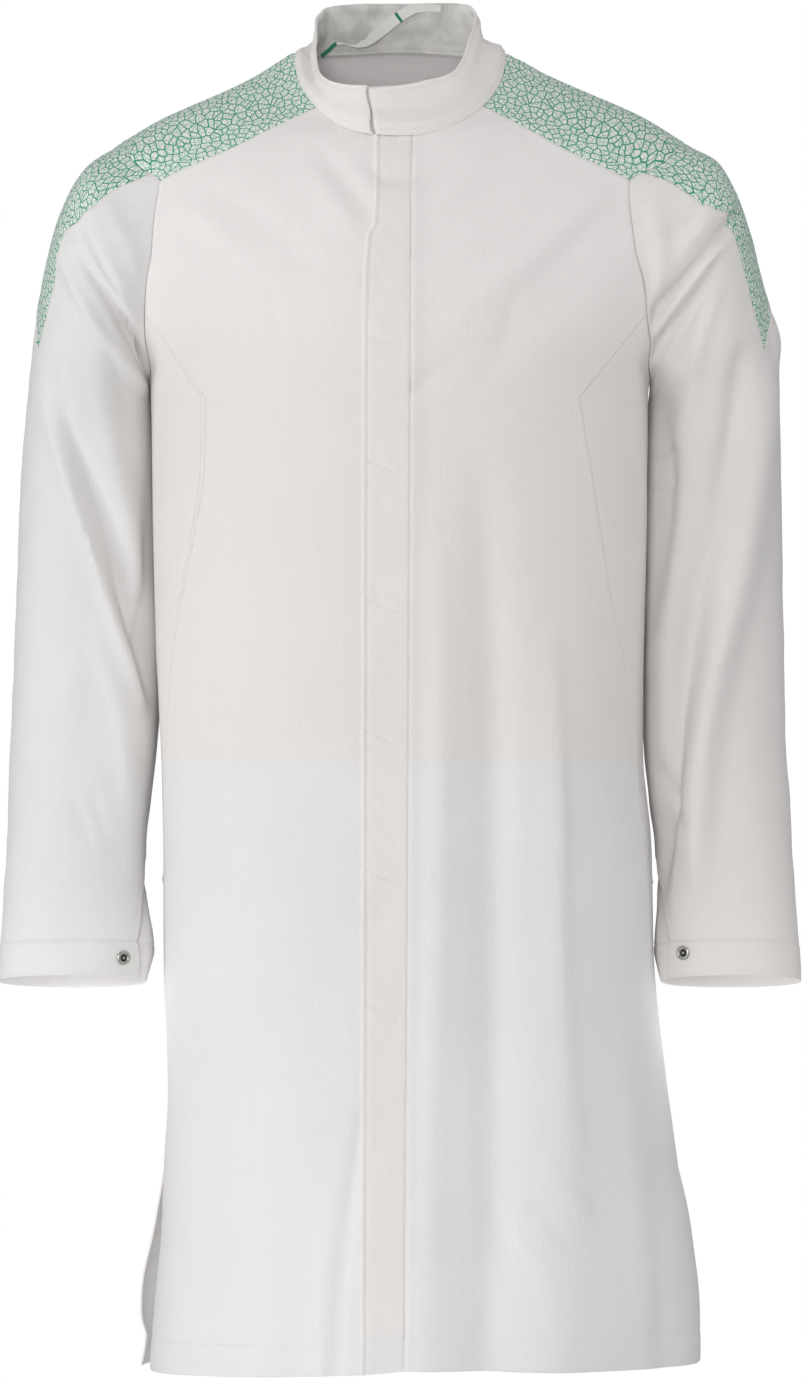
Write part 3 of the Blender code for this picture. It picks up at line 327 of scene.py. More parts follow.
# Side vents: height, front edge out and fore, back edge out and aft
VENT_TOP = -925.0
VENTS = {
    Side.RIGHT: np.array(
        (
            (-1095, 4.0, 8.0, 12.0, 7.0), (-1071, 4.0, 8.0, 9.0, 7.0), (-1048, 3.0, 8.0, 15.0, 7.0),
            (-1027, 2.5, 8.0, 16.0, 7.0), (-977, -1.0, 4.0, 7.0, 3.0), (VENT_TOP, 0.0, 0.0, 0.0, 0.0),
        )
    ),
    Side.LEFT: np.array(
        (
            (-1095, 5.0, 11.0, -1.0, 14.0), (-1027, 8.0, 10.0, 0.0, 12.0), (-977, 7.0, 6.0, 0.0, 6.0),
            (VENT_TOP, 0.0, 0.0, 0.0, 0.0),
        )
    ),
}

# Sleeve: two slanting cap rings by their outer (right, left), front, inner and back points
CAP = (
    ((258.5, 10, -94), (265, 10, -91), (238, -75, -170), (209.5, 14, -275), (236, 93, -168)),
    ((290.5, 16, -156), (294.5, 16, -156), (257, -66, -222), (209.0, 24, -282), (257, 96, -222)),
)
# Level arm rings: z, inner right and left, outer right and left, mid, half depth, pitch, inner fullness
ARM = (
    (-292, 208.0, 208.5, 313.5, 319.0, 32.0, 71.0, 0.0, 2.15),
    (-350, 205.0, 205.5, 318.5, 321.0, 43.0, 69.0, 0.0, 2.5),
    (-430, 203.5, 204.0, 322.5, 322.0, 47.0, 69.0, 0.0, 3.0),
    (-500, 202.5, 203.5, 324.5, 323.0, 47.0, 68.0, 0.03, 3.1),
    (-560, 203.5, 204.0, 327.0, 324.0, 42.0, 65.0, 0.08, 3.0),
    (-620, 210.0, 209.5, 329.0, 326.5, 31.0, 60.0, 0.13, 2.8),
    (-660, 213.5, 214.0, 329.5, 328.5, 23.0, 56.0, 0.15, 2.5),
    (-700, 211.5, 215.0, 331.0, 330.5, 15.0, 51.0, 0.14, 2.2),
    (-741, 205.5, 212.5, 333.5, 333.0, 8.0, 48.0, 0.15, 2.15),
    (-770.5, 212.0, 218.0, 335.0, 334.5, 3.0, 46.0, 0.17, 2.15),
)
CUFF_LINE_AT = 11.0
SLEEVE_END_AT = 12.0
SLEEVE_POWER = 2.0 / 2.15

# Insert edges: ring place, front and back angle
INSERT_TIP_AT = 2.62
INSERT_EDGES = {
    Side.RIGHT: np.array(
        (
            (0.0, INSERT_AT, -INSERT_AT), (0.42, 54.2, -50.0), (0.80, 61.0, -50.0), (1.08, 65.0, -47.0),
            (1.36, 61.5, -43.0), (1.64, 47.5, -36.0), (2.12, 49.8, -6.0), (2.35, 45.0, 12.0),
            (INSERT_TIP_AT, 35.5, 35.5),
        )
    ),
    Side.LEFT: np.array(
        (
            (0.0, INSERT_AT, -INSERT_AT), (0.37, 52.3, -50.0), (0.61, 59.0, -50.0), (0.92, 65.0, -48.0),
            (1.19, 63.1, -46.0), (1.40, 53.0, -42.0), (1.68, 54.4, -34.0), (2.27, 49.4, 8.0),
            (INSERT_TIP_AT, 42.5, 42.5),
        )
    ),
}

# Cuff slit: ring place, angle of the lapping edge, angle of the tucked edge, depth of the tuck
SLIT = np.array(
    (
        (9.2, 180.0, -180.0, 0.0), (9.6, 174.0, -186.0, 6.0), (10.0, 162.0, -204.0, 9.0),
        (CUFF_LINE_AT, 141.0, -238.0, 10.5), (SLEEVE_END_AT, 155.0, -232.0, 10.5),
    )
)
# Ring snap on each cuff: angle and ring place
SNAPS = {Side.RIGHT: (129.85, 11.467), Side.LEFT: (128.9, 11.33)}
TUCK_TURN = 20.0
TUCK_LEAD = 4.0

# Top edge of the collar: angle from the centre front, x, y, z
COLLAR_TOP = np.array(
    (
        (-180, 0.0, 60.0, 53.0), (-160, -38.0, 56.0, 52.0), (-140, -63.5, 44.0, 46.5),
        (-120, -71.0, 24.0, 33.0), (-100, -70.0, 5.0, 14.0), (-80, -69.0, -18.0, -4.0),
        (-62, -65.0, -42.0, -19.0), (-45, -52.0, -58.0, -29.0), (-25, -30.0, -66.0, -33.0),
        (0, 0.0, -64.0, -31.4), (25, 24.0, -57.0, -26.9), (45, 43.0, -49.0, -18.9), (62, 52.0, -36.0, -3.5),
        (80, 57.0, -20.0, 14.0), (100, 62.0, 2.0, 29.0), (120, 64.0, 22.0, 39.0), (140, 57.0, 42.0, 49.0),
        (160, 38.0, 56.0, 53.0), (180, 0.0, 60.0, 53.0),
    )
)
# How far the collar's profile lies inside a straight one, by height: at the front and back, and at the
# sides, where its foot lies flat on the shoulder and its stand is upright
COLLAR_HOLLOW = np.array(
    (
        (0.0, 0.0, 0.0), (0.18, -2.3, -2.8), (0.33, -1.4, -0.6), (0.5, -0.2, 5.0), (0.62, 0.0, 3.2),
        (0.82, 0.0, 0.0), (1.0, 0.0, 0.0),
    )
)
COLLAR_SIDES = (38.0, 78.0, 108.0, 150.0)
COLLAR_LAP_DROP = 3.5
COLLAR_LAP_LIFT = 2.6
COLLAR_UNDER_X = 6.0
COLLAR_OVER_X = -19.6
COLLAR_LEAN = -10.0

# Hanger loop on the collar's inside: degrees from the centre back, height, lift off the collar, width, twist
LOOP = np.array(
    (
        (49.8, 0.0, 0.0, 3.4, 0), (41.8, 0.115, 0.2, 3.4, 4), (35.0, 0.23, 0.4, 3.2, 8),
        (30.2, 0.225, 0.6, 2.2, 14), (26.0, 0.165, 0.8, 2.0, 20), (21.8, 0.15, 1.0, 3.6, 26),
        (17.0, 0.21, 1.2, 8.2, 24), (13.0, 0.305, 1.4, 9.6, 18), (9.0, 0.42, 1.4, 9.8, 12),
        (4.8, 0.56, 1.2, 9.6, 6), (0.8, 0.70, 0.9, 9.4, 2), (-3.5, 0.83, 0.6, 9.0, -4),
        (-8.0, 0.90, 0.4, 7.6, -10), (-13.2, 0.905, 0.4, 6.6, -14), (-18.5, 0.875, 0.2, 5.8, -8),
    )
)

# Depth of a point into doubled cloth, as the finish reads it: well outside and well inside
SINGLE, DOUBLED = -100.0, 10.0
CLOTH = 1.4
COLLAR_WALL = 2.2
LOOP_WALL = 1.0
GAP = 0.3
SEAM_PULL = 0.04
SMALL_PULL = 0.05
CUFF_PROUD = 0.5
NEAR_SEAM = (0.0, 0.8, 2.0, 3.6, 5.6, 8.0)
SPACING = 4.6
SLEEVE_SPACING = 2.7


# Folds


@dataclass(frozen=True)
class Fold:
    """A trough (depth below 0) or ridge along a straight line between two places of a form.

    The places are x and z on the body, and the angle and z on a sleeve. fade says over which shares of its
    run it begins and ends.
    """

    first_1: float
    z_1: float
    first_2: float
    z_2: float
    width: float
    depth: float
    fade: tuple[float, float, float, float] = (-0.15, 0.3, 0.75, 1.15)

    def height(self, first: Array, z: Array, scale: float) -> Array:
        """How far the fold moves the cloth out.

        Args:
            first: x or angle of the places.
            z: heights of the places.
            scale: millimetres for one unit of `first`.

        Returns:
            Millimetres, in the shape of the places.
        """
        run = np.array(((self.first_2 - self.first_1) * scale, self.z_2 - self.z_1))
        across, up = (first - self.first_1) * scale, z - self.z_1
        length = np.hypot(*run)
        along = (across * run[0] + up * run[1]) / length**2
        apart = (across * run[1] - up * run[0]) / length
        begin_1, begin_2, end_1, end_2 = self.fade
        fade = ramp(begin_1, begin_2, along) * (1 - ramp(end_1, end_2, along))
        return self.depth * fade * bell(apart, 0.0, self.width)


@dataclass(frozen=True)
class Crease:
    """A curved trough or ridge as it looks from the front.

    stations are rows of x, z, half width and height (below 0 in a trough). lean widens the flank to the left
    of its run, so that the other one is the steeper.
    """

    stations: tuple[tuple[float, float, float, float], ...]
    lean: float = 1.0

    def height(self, x: Array, z: Array) -> Array:
        """How far the crease moves the cloth out.

        Args:
            x: places across.
            z: their heights.

        Returns:
            Millimetres, in the shape of the places.
        """
        table = np.array(self.stations)
        run = np.concatenate([[0.0], np.cumsum(np.hypot(*np.diff(table[:, :2], axis=0).T))])
        path = flow(run, table, np.linspace(0, run[-1], 64))
        ahead = np.gradient(path[:, :2], axis=0)
        step = np.linalg.norm(ahead, axis=1)
        ahead = ahead / step[:, None]
        reach = 2.6 * table[:, 2].max() * max(1.0, self.lean)
        (low_x, low_z), (high_x, high_z) = path[:, :2].min(axis=0) - reach, path[:, :2].max(axis=0) + reach
        close = (x > low_x) & (x < high_x) & (z > low_z) & (z < high_z)
        total = np.zeros(x.shape)
        if close.any():
            apart = np.stack([x[close], z[close]], axis=-1)[:, None] - path[None, :, :2]
            nearest = np.argmin((apart**2).sum(axis=2), axis=1)
            offset, way = apart[np.arange(len(nearest)), nearest], ahead[nearest]
            along = (offset * way).sum(axis=1)
            across = way[:, 0] * offset[:, 1] - way[:, 1] * offset[:, 0]
            place = np.clip(nearest + along / step[nearest], 0, len(path) - 1)
            past = np.abs(along / step[nearest] + nearest - place) * step[nearest]
            width, height = (np.interp(place, np.arange(len(path)), path[:, k]) for k in (2, 3))
            width = width * np.where(across > 0, self.lean, 1.0)
            total[close] = height * np.exp(-(across**2 + past**2) / width**2)
        return total


# The largest folds, as on the solids: they begin softly and run out through the hem
HANG = (0.0, 0.45, 9.0, 10.0)
BODY_FOLDS = {
    Face.FRONT: (
        Fold(78, -420, 82, -900, 34, -5.0, HANG),
        Fold(122, -480, 132, -1100, 30, 5.0, HANG),
        Fold(-120, -760, -128, -1100, 36, 4.0, HANG),
        Fold(62, -900, 66, -1100, 30, -5.0, HANG),
    ),
    Face.BACK: (
        Fold(-95, -480, -105, -1110, 34, 6.0, HANG),
        Fold(0, -520, 4, -1110, 36, -7.0, HANG),
        Fold(98, -470, 110, -1110, 34, 6.0, HANG),
    ),
}
# Creases of the body's front
FRONT_CREASES = (
    Crease(((183, -116, 9, 0), (152, -137, 10, 2), (120, -164, 12, 3), (87, -190, 13, 3), (57, -217, 13, 2),
        (32, -242, 13, 0)), 0.8),
    Crease(((189, -143, 14, 0), (163, -177, 15, -2.2), (131, -208, 16, -3), (99, -235, 16, -3),
        (73, -263, 16, -2), (57, -287, 15, 0))),
    Crease(((179, -128, 9, -1), (158, -153, 11, -2.4), (129, -182, 12, -3), (97, -213, 12, -1.5),
        (73, -237, 12, 0))),
    Crease(((-26, -99, 6, -1.2), (-10, -112, 7, -3.2), (16, -109, 8, -3.4), (42, -95, 8, -2.8),
        (65, -75, 7, -1.4), (78, -63, 6, 0))),
    Crease(((-23, -149, 9, 0), (8, -138, 10, 2.4), (39, -122, 10, 2.8), (66, -99, 9, 2), (87, -77, 8, 0))),
    Crease(((-68, -83, 7, 0), (-54, -102, 8, -2.2), (-40, -120, 8, -2.8), (-29, -135, 8, -1.4))),
    Crease(((-81, -93, 9, 0), (-65, -117, 10, 1.6), (-47, -143, 10, 1.6), (-31, -162, 9, 0.6))),
    Crease(((-29, -195, 5, -1), (-10, -187, 5.5, -2.2), (11, -178, 6, -2), (34, -164, 6, -1.5),
        (60, -148, 6, 0))),
    Crease(((2, -297, 7, -0.6), (16, -282, 7, -2), (37, -266, 8, -2), (60, -253, 8, -1), (85, -243, 8, 0))),
    Crease(((-191, -124, 6, 0), (-162, -143, 8, 2.4), (-134, -166, 9, 2.8), (-111, -187, 9, 1.6),
        (-92, -204, 9, 0))),
    Crease(((-174, -110, 7, 0), (-141, -128, 8, -2.2), (-108, -149, 9, -2.6), (-81, -174, 9, -1.5),
        (-63, -194, 9, 0))),
    Crease(((-192, -137, 9, 0), (-170, -161, 11, -1.8), (-145, -186, 12, -2), (-120, -214, 12, 0))),
    Crease(((-111, -182, 4, 0), (-107, -204, 4, -0.9), (-101, -229, 4, -0.9), (-95, -255, 4, 0))),
    Crease(((99, -185, 4, 0), (93, -208, 4, -1), (86, -233, 4, -1), (79, -261, 4, 0))),
    Crease(((24, -358, 13, 0), (31, -455, 13, 3.4), (32, -552, 13, 4.8), (31, -681, 12, 5.2),
        (27, -818, 12, 4.8), (24, -940, 12, 4), (20, -1045, 12, 3), (19, -1117, 12, 3))),
    Crease(((63, -326, 15, 0), (70, -423, 15, -5), (74, -536, 15, -8.5), (74, -665, 15, -9),
        (74, -778, 15, -9), (74, -899, 15, -7), (71, -1045, 15, -5), (70, -1117, 15, -5))),
    Crease(((123, -455, 13, 0), (128, -552, 13, 3), (130, -633, 13, 4.4), (130, -730, 13, 4.4),
        (134, -810, 14, 3), (141, -891, 14, 2), (149, -972, 14, 0)), 0.45),
    Crease(((117, -904, 5.5, 0), (129, -927, 5.5, 2.2), (144, -944, 5.5, 2.6), (152, -965, 5.5, 0))),
    Crease(((103, -932, 5.5, 0), (117, -951, 5.5, -2.2), (131, -972, 5.5, -2), (143, -991, 5.5, 0))),
    Crease(((83, -961, 5.5, 0), (99, -972, 5.5, 2.2), (113, -991, 5.5, 1.6), (120, -1016, 5.5, 0))),
    Crease(((71, -928, 6.5, 0), (80, -962, 6.5, -2.2), (87, -990, 6.5, -1.6), (97, -1022, 6.5, 0))),
    Crease(((-27, -844, 5, 0), (-32, -875, 5, -1.4), (-39, -923, 6, -2), (-46, -988, 6, -2.4),
        (-51, -1045, 6, -2.4), (-52, -1117, 6, -2.4))),
    Crease(((-39, -856, 8, 0), (-49, -923, 9, 1.4), (-60, -1004, 9, 1.8), (-65, -1117, 9, 1.8))),
    Crease(((-187, -865, 3.6, 0.3), (-137, -864, 3.6, 0.55), (-81, -864, 3.6, 0.55),
        (-27, -860, 3.6, 0.3))),
    Crease(((68, -857, 3.6, 0), (129, -848, 3.6, 0.5), (202, -833, 3.6, 0.3))),
    Crease(((-144, -608, 12, 0), (-145, -738, 12, -1.8), (-149, -899, 12, -1.8), (-155, -1045, 12, -1.4),
        (-157, -1117, 12, -1.4))),
    Crease(((57, -586, 3.6, 0), (113, -585, 3.6, 0.5), (194, -584, 3.6, 0))),
    Crease(((-184, -568, 10, 0), (-179, -665, 10, 1.6), (-176, -778, 10, 1.8), (-178, -899, 10, 1.2),
        (-179, -972, 10, 0))),
    Crease(((194, -697, 10, 0), (204, -794, 10, -2.2), (212, -899, 10, -2.6), (217, -1012, 10, -2.2),
        (220, -1117, 10, -2.2))),
    Crease(((176, -746, 10, 0), (184, -843, 10, 2), (194, -940, 10, 2.2), (200, -1037, 10, 1.8),
        (202, -1117, 10, 1.8))),
    Crease(((-121, -883, 14, 0), (-111, -964, 15, 1.6), (-107, -1045, 16, 1.8), (-105, -1117, 16, 1.8))),
)
# Smaller folds and drags of the back
BACK_CREASES = (
    Fold(-120, -140, -20, -250, 24, -3.4),
    Fold(126, -145, 26, -262, 22, -3.2),
    Fold(-150, -120, -60, -170, 18, 2.0),
    Fold(148, -118, 58, -172, 18, 1.8),
    Fold(-196, -300, -110, -400, 20, -4.0),
    Fold(196, -310, 104, -395, 22, -3.8),
    Fold(-60, -300, -66, -520, 24, 2.6),
    Fold(58, -330, 66, -560, 22, 2.8),
    Fold(-150, -470, -60, -520, 15, -2.6),
    Fold(154, -500, 70, -545, 14, -2.4),
    Fold(-160, -700, -170, -1090, 20, -3.8, HANG),
    Fold(60, -760, 62, -1090, 20, -4.0, HANG),
    Fold(166, -760, 180, -1090, 18, -3.4, HANG),
    Fold(-40, -800, -46, -1090, 18, 2.6, HANG),
    Fold(-120, -940, -70, -1010, 12, 1.6),
)
# Folds of the sleeves' backs and inner sides, by angle and height
SLEEVE_FOLDS = {
    Side.RIGHT: (
        Fold(-70, -470, -150, -520, 22, -7.0),
        Fold(-64, -190, -124, -280, 22, -4.0),
        Fold(-20, -300, -40, -700, 24, 1.6),
        Fold(-90, -300, -150, -370, 12, -3.4),
        Fold(-80, -380, -150, -450, 12, -3.4),
        Fold(-74, -420, -146, -484, 10, 2.4),
        Fold(-70, -560, -150, -600, 12, -3.0),
        Fold(-100, -630, -165, -650, 10, -2.4),
    ),
    Side.LEFT: (
        Fold(-72, -455, -148, -505, 22, -7.0),
        Fold(-62, -190, -122, -280, 22, -4.0),
        Fold(-12, -236, 26, -234, 20, 5.5),
        Fold(-90, -310, -150, -385, 12, -3.4),
        Fold(-78, -390, -148, -452, 12, -3.2),
        Fold(-76, -425, -144, -470, 10, 2.4),
        Fold(-72, -570, -150, -608, 12, -3.0),
        Fold(-100, -640, -165, -662, 10, -2.4),
    ),
}
# Creases of the sleeves' fronts
SLEEVE_CREASES = {
    Side.RIGHT: (
        Crease(((-279, -147, 4, 0), (-260, -176, 4.5, -4), (-241, -204, 5, -8), (-224, -230, 6, -12),
            (-211, -247, 7, -15), (-203, -259, 8, -12)), 0.8),
        Crease(((-286, -159, 5, 0), (-271, -189, 5, 3), (-252, -224, 6, 4.4), (-231, -252, 6, 5),
            (-211, -279, 6, 5), (-199, -293, 6, 4))),
        Crease(((-262, -144, 3.4, 0), (-252, -164, 3.6, -2.6), (-239, -189, 3.8, -2.6),
            (-227, -205, 3.4, 0))),
        Crease(((-292, -247, 6, 0), (-279, -295, 6.5, -4), (-262, -345, 7.5, -11), (-249, -382, 8, -14),
            (-237, -418, 9.5, -16), (-224, -457, 12, -18), (-209, -499, 12, -13), (-201, -536, 11, -6))),
        Crease(((-302, -267, 6, 0), (-286, -320, 6, 3), (-271, -370, 6.5, 4.5), (-256, -410, 7, 6),
            (-242, -450, 7, 7), (-227, -494, 7, 6), (-213, -536, 6, 3))),
        Crease(((-257, -241, 10, 0), (-246, -295, 10, 3), (-237, -337, 10, 5), (-226, -386, 9, 5),
            (-218, -424, 8, 3), (-211, -453, 8, 0))),
        Crease(((-210, -330, 8, 0), (-208, -365, 9, -2), (-206, -400, 10, -5), (-203, -435, 11, -8),
            (-199, -480, 11, -8), (-198, -528, 11, -5)), 0.8),
        Crease(((-262, -453, 7, 0), (-249, -499, 7, 1.6), (-232, -549, 8, 3), (-227, -599, 8, 3.6),
            (-224, -649, 8, 2.6), (-223, -694, 8, 0)), 1.4),
        Crease(((-277, -607, 6, 0), (-263, -637, 6, -1.6), (-251, -667, 6, 0))),
        Crease(((-259, -599, 6, 0), (-249, -629, 6, -1.5), (-238, -662, 6, 0))),
        Crease(((-246, -117, 7, 0), (-234, -142, 8, 2.4), (-219, -172, 8, 2.6), (-208, -197, 8, 0))),
        Crease(((-282, -453, 14, 0), (-274, -519, 14, 1.6), (-277, -586, 14, 0))),
        Crease(((-252, -204, 6, 0), (-239, -241, 7, -2.4), (-229, -280, 7, -2.4), (-222, -312, 7, 0))),
    ),
    Side.LEFT: (
        Crease(((286, -126, 4, -2), (276, -139, 4.5, -6), (257, -162, 5, -8), (235, -189, 6, -10),
            (218, -209, 6.5, -11), (203, -225, 7, -9))),
        Crease(((271, -152, 4.5, 0), (249, -181, 5, 4), (227, -209, 5, 4.5), (210, -234, 5, 4))),
        Crease(((271, -166, 4.5, 0), (249, -194, 5, -6), (229, -222, 5.5, -8), (209, -249, 6, -6))),
        Crease(((267, -189, 6, 0), (254, -222, 7, 4), (244, -255, 8, 4.5), (237, -288, 9, 3.4),
            (234, -320, 9, 0))),
        Crease(((212, -259, 9, 0), (216, -303, 10, -6), (219, -349, 11, -10), (216, -395, 11, -10),
            (211, -445, 11, -6), (208, -494, 9, 0))),
        Crease(((309, -250, 12, 0), (303, -287, 14, 6), (293, -345, 16, 11), (283, -403, 17, 14),
            (273, -453, 16, 17), (263, -503, 14, 18), (254, -552, 13, 17), (248, -619, 12, 13),
            (246, -685, 11, 8), (246, -732, 10, 0))),
        Crease(((258, -395, 16, 0), (249, -445, 18, -10), (241, -499, 18, -16), (232, -552, 17, -17),
            (224, -615, 14, -13), (219, -669, 11, -8), (216, -719, 9, 0)), 0.55),
        Crease(((270, -170, 13, 0), (256, -205, 16, -6), (246, -232, 17, -9), (238, -262, 17, -8),
            (232, -295, 15, -4), (230, -322, 14, 0))),
        Crease(((207, -577, 5, 0), (217, -609, 5, -3), (230, -629, 5, -3.4), (241, -650, 5, 0))),
        Crease(((222, -317, 4, 0), (216, -326, 4, -2.5), (208, -332, 4, -2.5))),
        Crease(((227, -352, 4, 0), (219, -355, 4, -3), (208, -358, 4, -3))),
        Crease(((286, -237, 7, 0), (279, -274, 9, -8), (272, -320, 10, -8), (265, -370, 11, -5),
            (257, -420, 11, 0))),
        Crease(((201, -117, 8, 0), (208, -142, 8, 3.2), (213, -172, 8, 4.4), (211, -197, 7, 3),
            (206, -214, 6, 0))),
        Crease(((262, -116, 6, 0), (247, -132, 6.5, -2), (229, -147, 7, -3), (208, -159, 7, -1.5))),
        Crease(((259, -136, 5, 0), (247, -149, 5.5, 3), (236, -162, 5.5, 3.4), (222, -177, 5, 1.5))),
    ),
}
DEGREE_OF_SLEEVE = 1.05


class BodyForm:
    """The surface that the body panels, the yokes and the collar's foot lie on."""

    def ring(self, z: Array | float) -> tuple[Array, ...]:
        """Half-width, centre, mid, front, back and squareness of the section at a height."""
        values = flow(TORSO[:, 0], TORSO[:, 1:], z)
        return tuple(values[..., k] for k in range(6))

    def point(self, face: Face, turn: Array, z: Array) -> Array:
        """A point at a turn from the middle (0) to the wearer's left side (90) and a height.

        Args:
            face: front or back.
            turn: degrees from the middle.
            z: heights.

        Returns:
            Points in millimetres.
        """
        turn, z = np.broadcast_arrays(np.asarray(turn, float), np.asarray(z, float))
        half, centre, mid, front, back, square = self.ring(z)
        power = 2.0 / square
        across = signed_power(np.sin(np.radians(turn)), power)
        depth = np.maximum(np.cos(np.radians(turn)), 0.0) ** power
        reach = front if face is Face.FRONT else back
        return np.stack([centre + half * across, mid + (reach - mid) * depth, z], axis=-1)

    def spread(self, y: Array, ring: tuple[Array, ...]) -> Array:
        """Depth of the front or back half of a section, whichever holds y."""
        return np.where(y < ring[2], ring[2] - ring[3], ring[4] - ring[2])

    def level_share(self, x: Array, y: Array, z: Array) -> Array:
        """1 on the section at a height, less inside it and more outside."""
        half, centre, mid, *_, square = ring = self.ring(z)
        return np.abs((x - centre) / half) ** square + np.abs((y - mid) / self.spread(y, ring)) ** square

    def turn_at(self, x: Array, z: Array) -> Array:
        """The turn at which the section at a height passes x.

        Args:
            x: places across.
            z: heights.

        Returns:
            Turns in degrees.
        """
        half, centre, _, _, _, square = self.ring(z)
        share = np.clip((x - centre) / half, -1.0, 1.0)
        return np.degrees(np.arcsin(np.clip(signed_power(share, square / 2.0), -1.0, 1.0)))

    def height_over(self, x: Array, y: Array) -> Array:
        """Height of the shoulders above places between the neck and the armhole.

        Args:
            x: places across.
            y: places in depth.

        Returns:
            Heights in millimetres.
        """
        x, y = np.broadcast_arrays(np.asarray(x, float), np.asarray(y, float))
        low, high = np.full(x.shape, SHOULDER_Z[0]), np.full(x.shape, SHOULDER_Z[1])
        for _ in range(36):
            z = (low + high) / 2
            outside = self.level_share(x, y, z) > 1
            low, high = np.where(outside, low, z), np.where(outside, z, high)
        return (low + high) / 2

    def armhole(self, side: Side, angle: Array | float) -> Array:
        """A point of the armhole seam, at an angle from its top, positive through the front.

        Args:
            side: the wearer's right or left.
            angle: degrees from the top.

        Returns:
            Points of the seam.
        """
        angle = (np.asarray(angle, float) + 180.0) % 360.0 - 180.0
        read = flow(ARMHOLE[:, 0], ARMHOLE[:, 1:], np.abs(angle))
        front = read[..., 0] if side is Side.RIGHT else read[..., 1]
        depth = np.where(angle < 0, read[..., 2], front)
        y, z = ARMHOLE_MID - np.where(angle < 0, -depth, depth), read[..., 3]
        half, centre, mid, *_, square = ring = self.ring(z)
        inside = np.maximum(1 - np.abs((y - mid) / self.spread(y, ring)) ** square, 0.0)
        return np.stack([centre + side.value * half * inside ** (1 / square), y, z], axis=-1)

    def neck(self, angle: Array | float) -> Array:
        """A point of the neck seam, at an angle from the centre front, positive to the left.

        Args:
            angle: degrees from the centre front.

        Returns:
            Points of the seam.
        """
        turn = np.radians(np.asarray(angle, float))
        reach = np.where(np.cos(turn) > 0, NECK.front, NECK.back)
        x = NECK.half * signed_power(np.sin(turn), NECK.power)
        y = NECK.mid - reach * signed_power(np.cos(turn), NECK.power)
        return np.stack([x, y, self.height_over(x, y)], axis=-1)

    def neck_angle_at(self, x: Array | float) -> Array:
        """The front neck angle that passes x."""
        return np.degrees(np.arcsin(signed_power(np.asarray(x, float) / NECK.half, 1 / NECK.power)))

    def strip_x(self, z: Array | float, share: Array | float) -> Array:
        """Where the fly strip lies: share 0 at its stitching and 1 at its free edge.

        Args:
            z: heights.
            share: 0 at the stitching and 1 at the free edge.

        Returns:
            Places across.
        """
        edge = np.interp(z, PLACKET[:, 0], PLACKET[:, 1])
        stitch = np.interp(z, PLACKET[:, 0], PLACKET[:, 2])
        return stitch + (edge - stitch) * share

    def seam_x(self, side: Side, z: Array) -> Array:
        """Distance from the middle of the side panel's front seam, signed."""
        return side.value * flow(SIDE_SEAM[:, 0], SIDE_SEAM[:, 1:], z)[..., 0 if side is Side.RIGHT else 1]

    def vent_shift(self, face: Face, turn: Array, z: Array) -> Array:
        """How far the free edges beside a side vent stand away from the section.

        Args:
            face: front or back.
            turn: degrees from the middle.
            z: heights.

        Returns:
            Shifts in millimetres.
        """
        shift = np.zeros(z.shape + (3,))
        near_edge = ramp(48.0, 90.0, np.abs(turn)) * (z < VENT_TOP)
        first = 1 if face is Face.FRONT else 3
        for side in Side:
            mine = near_edge * (np.sign(turn) == side.value)
            read = flow(VENTS[side][:, 0], VENTS[side][:, first : first + 2], z)
            shift[..., 0] += side.value * read[..., 0] * mine
            shift[..., 1] += face.value * read[..., 1] * mine
        return shift

    def outward(self, points: Array) -> Array:
        """Outward directions of the form near points of it.

        Args:
            points: points of the form.

        Returns:
            Unit directions.
        """
        x, y, z = points[..., 0], points[..., 1], points[..., 2]
        half, centre, mid, *_, square = ring = self.ring(z)
        reach = self.spread(y, ring)
        gradient = [
            square * signed_power((x - centre) / half, square - 1) / half,
            square * signed_power((y - mid) / reach, square - 1) / reach,
            (self.level_share(x, y, z + 1.5) - self.level_share(x, y, z - 1.5)) / 3.0,
        ]
        return unit(np.stack(gradient, axis=-1))

    def folded(self, points: Array, fixed: Array) -> Array:
        """Move points of the form out and in with the body's folds.

        Args:
            points: points of a body panel.
            fixed: how free each point is, 0 on the seams at the neck, yoke and armhole.

        Returns:
            The moved points.
        """
        half, centre, mid, _, _, _ = self.ring(points[..., 2])
        across = np.clip((points[..., 0] - centre) / half, -1, 1)
        flat = np.sqrt(np.maximum(1 - across**2, 0.0))
        deep = np.zeros(points.shape[:-1])
        for face in Face:
            mine = (points[..., 1] < mid) if face is Face.FRONT else (points[..., 1] >= mid)
            for fold in BODY_FOLDS[face]:
                deep += mine * flat * fold.height(points[..., 0], points[..., 2], 1.0)
        in_front = ramp(-12.0, 12.0, mid - points[..., 1]) * flat**0.5 * fixed
        for crease in FRONT_CREASES:
            deep += in_front * crease.height(points[..., 0], points[..., 2])
        behind = (points[..., 1] >= mid) * flat**0.5 * fixed
        for fold in BACK_CREASES:
            deep += behind * fold.height(points[..., 0], points[..., 2], 1.0)
        low = ramp(-350, -900, points[..., 2])
        deep += fixed * blended_noise(points * (1.0, 1.0, 0.55), 120.0, 3) * (0.5 + 0.7 * low)
        deep += fixed * blended_noise(points * (1.0, 1.0, 0.8), 46.0, 5) * 0.22
        return points + self.outward(points) * deep[..., None]


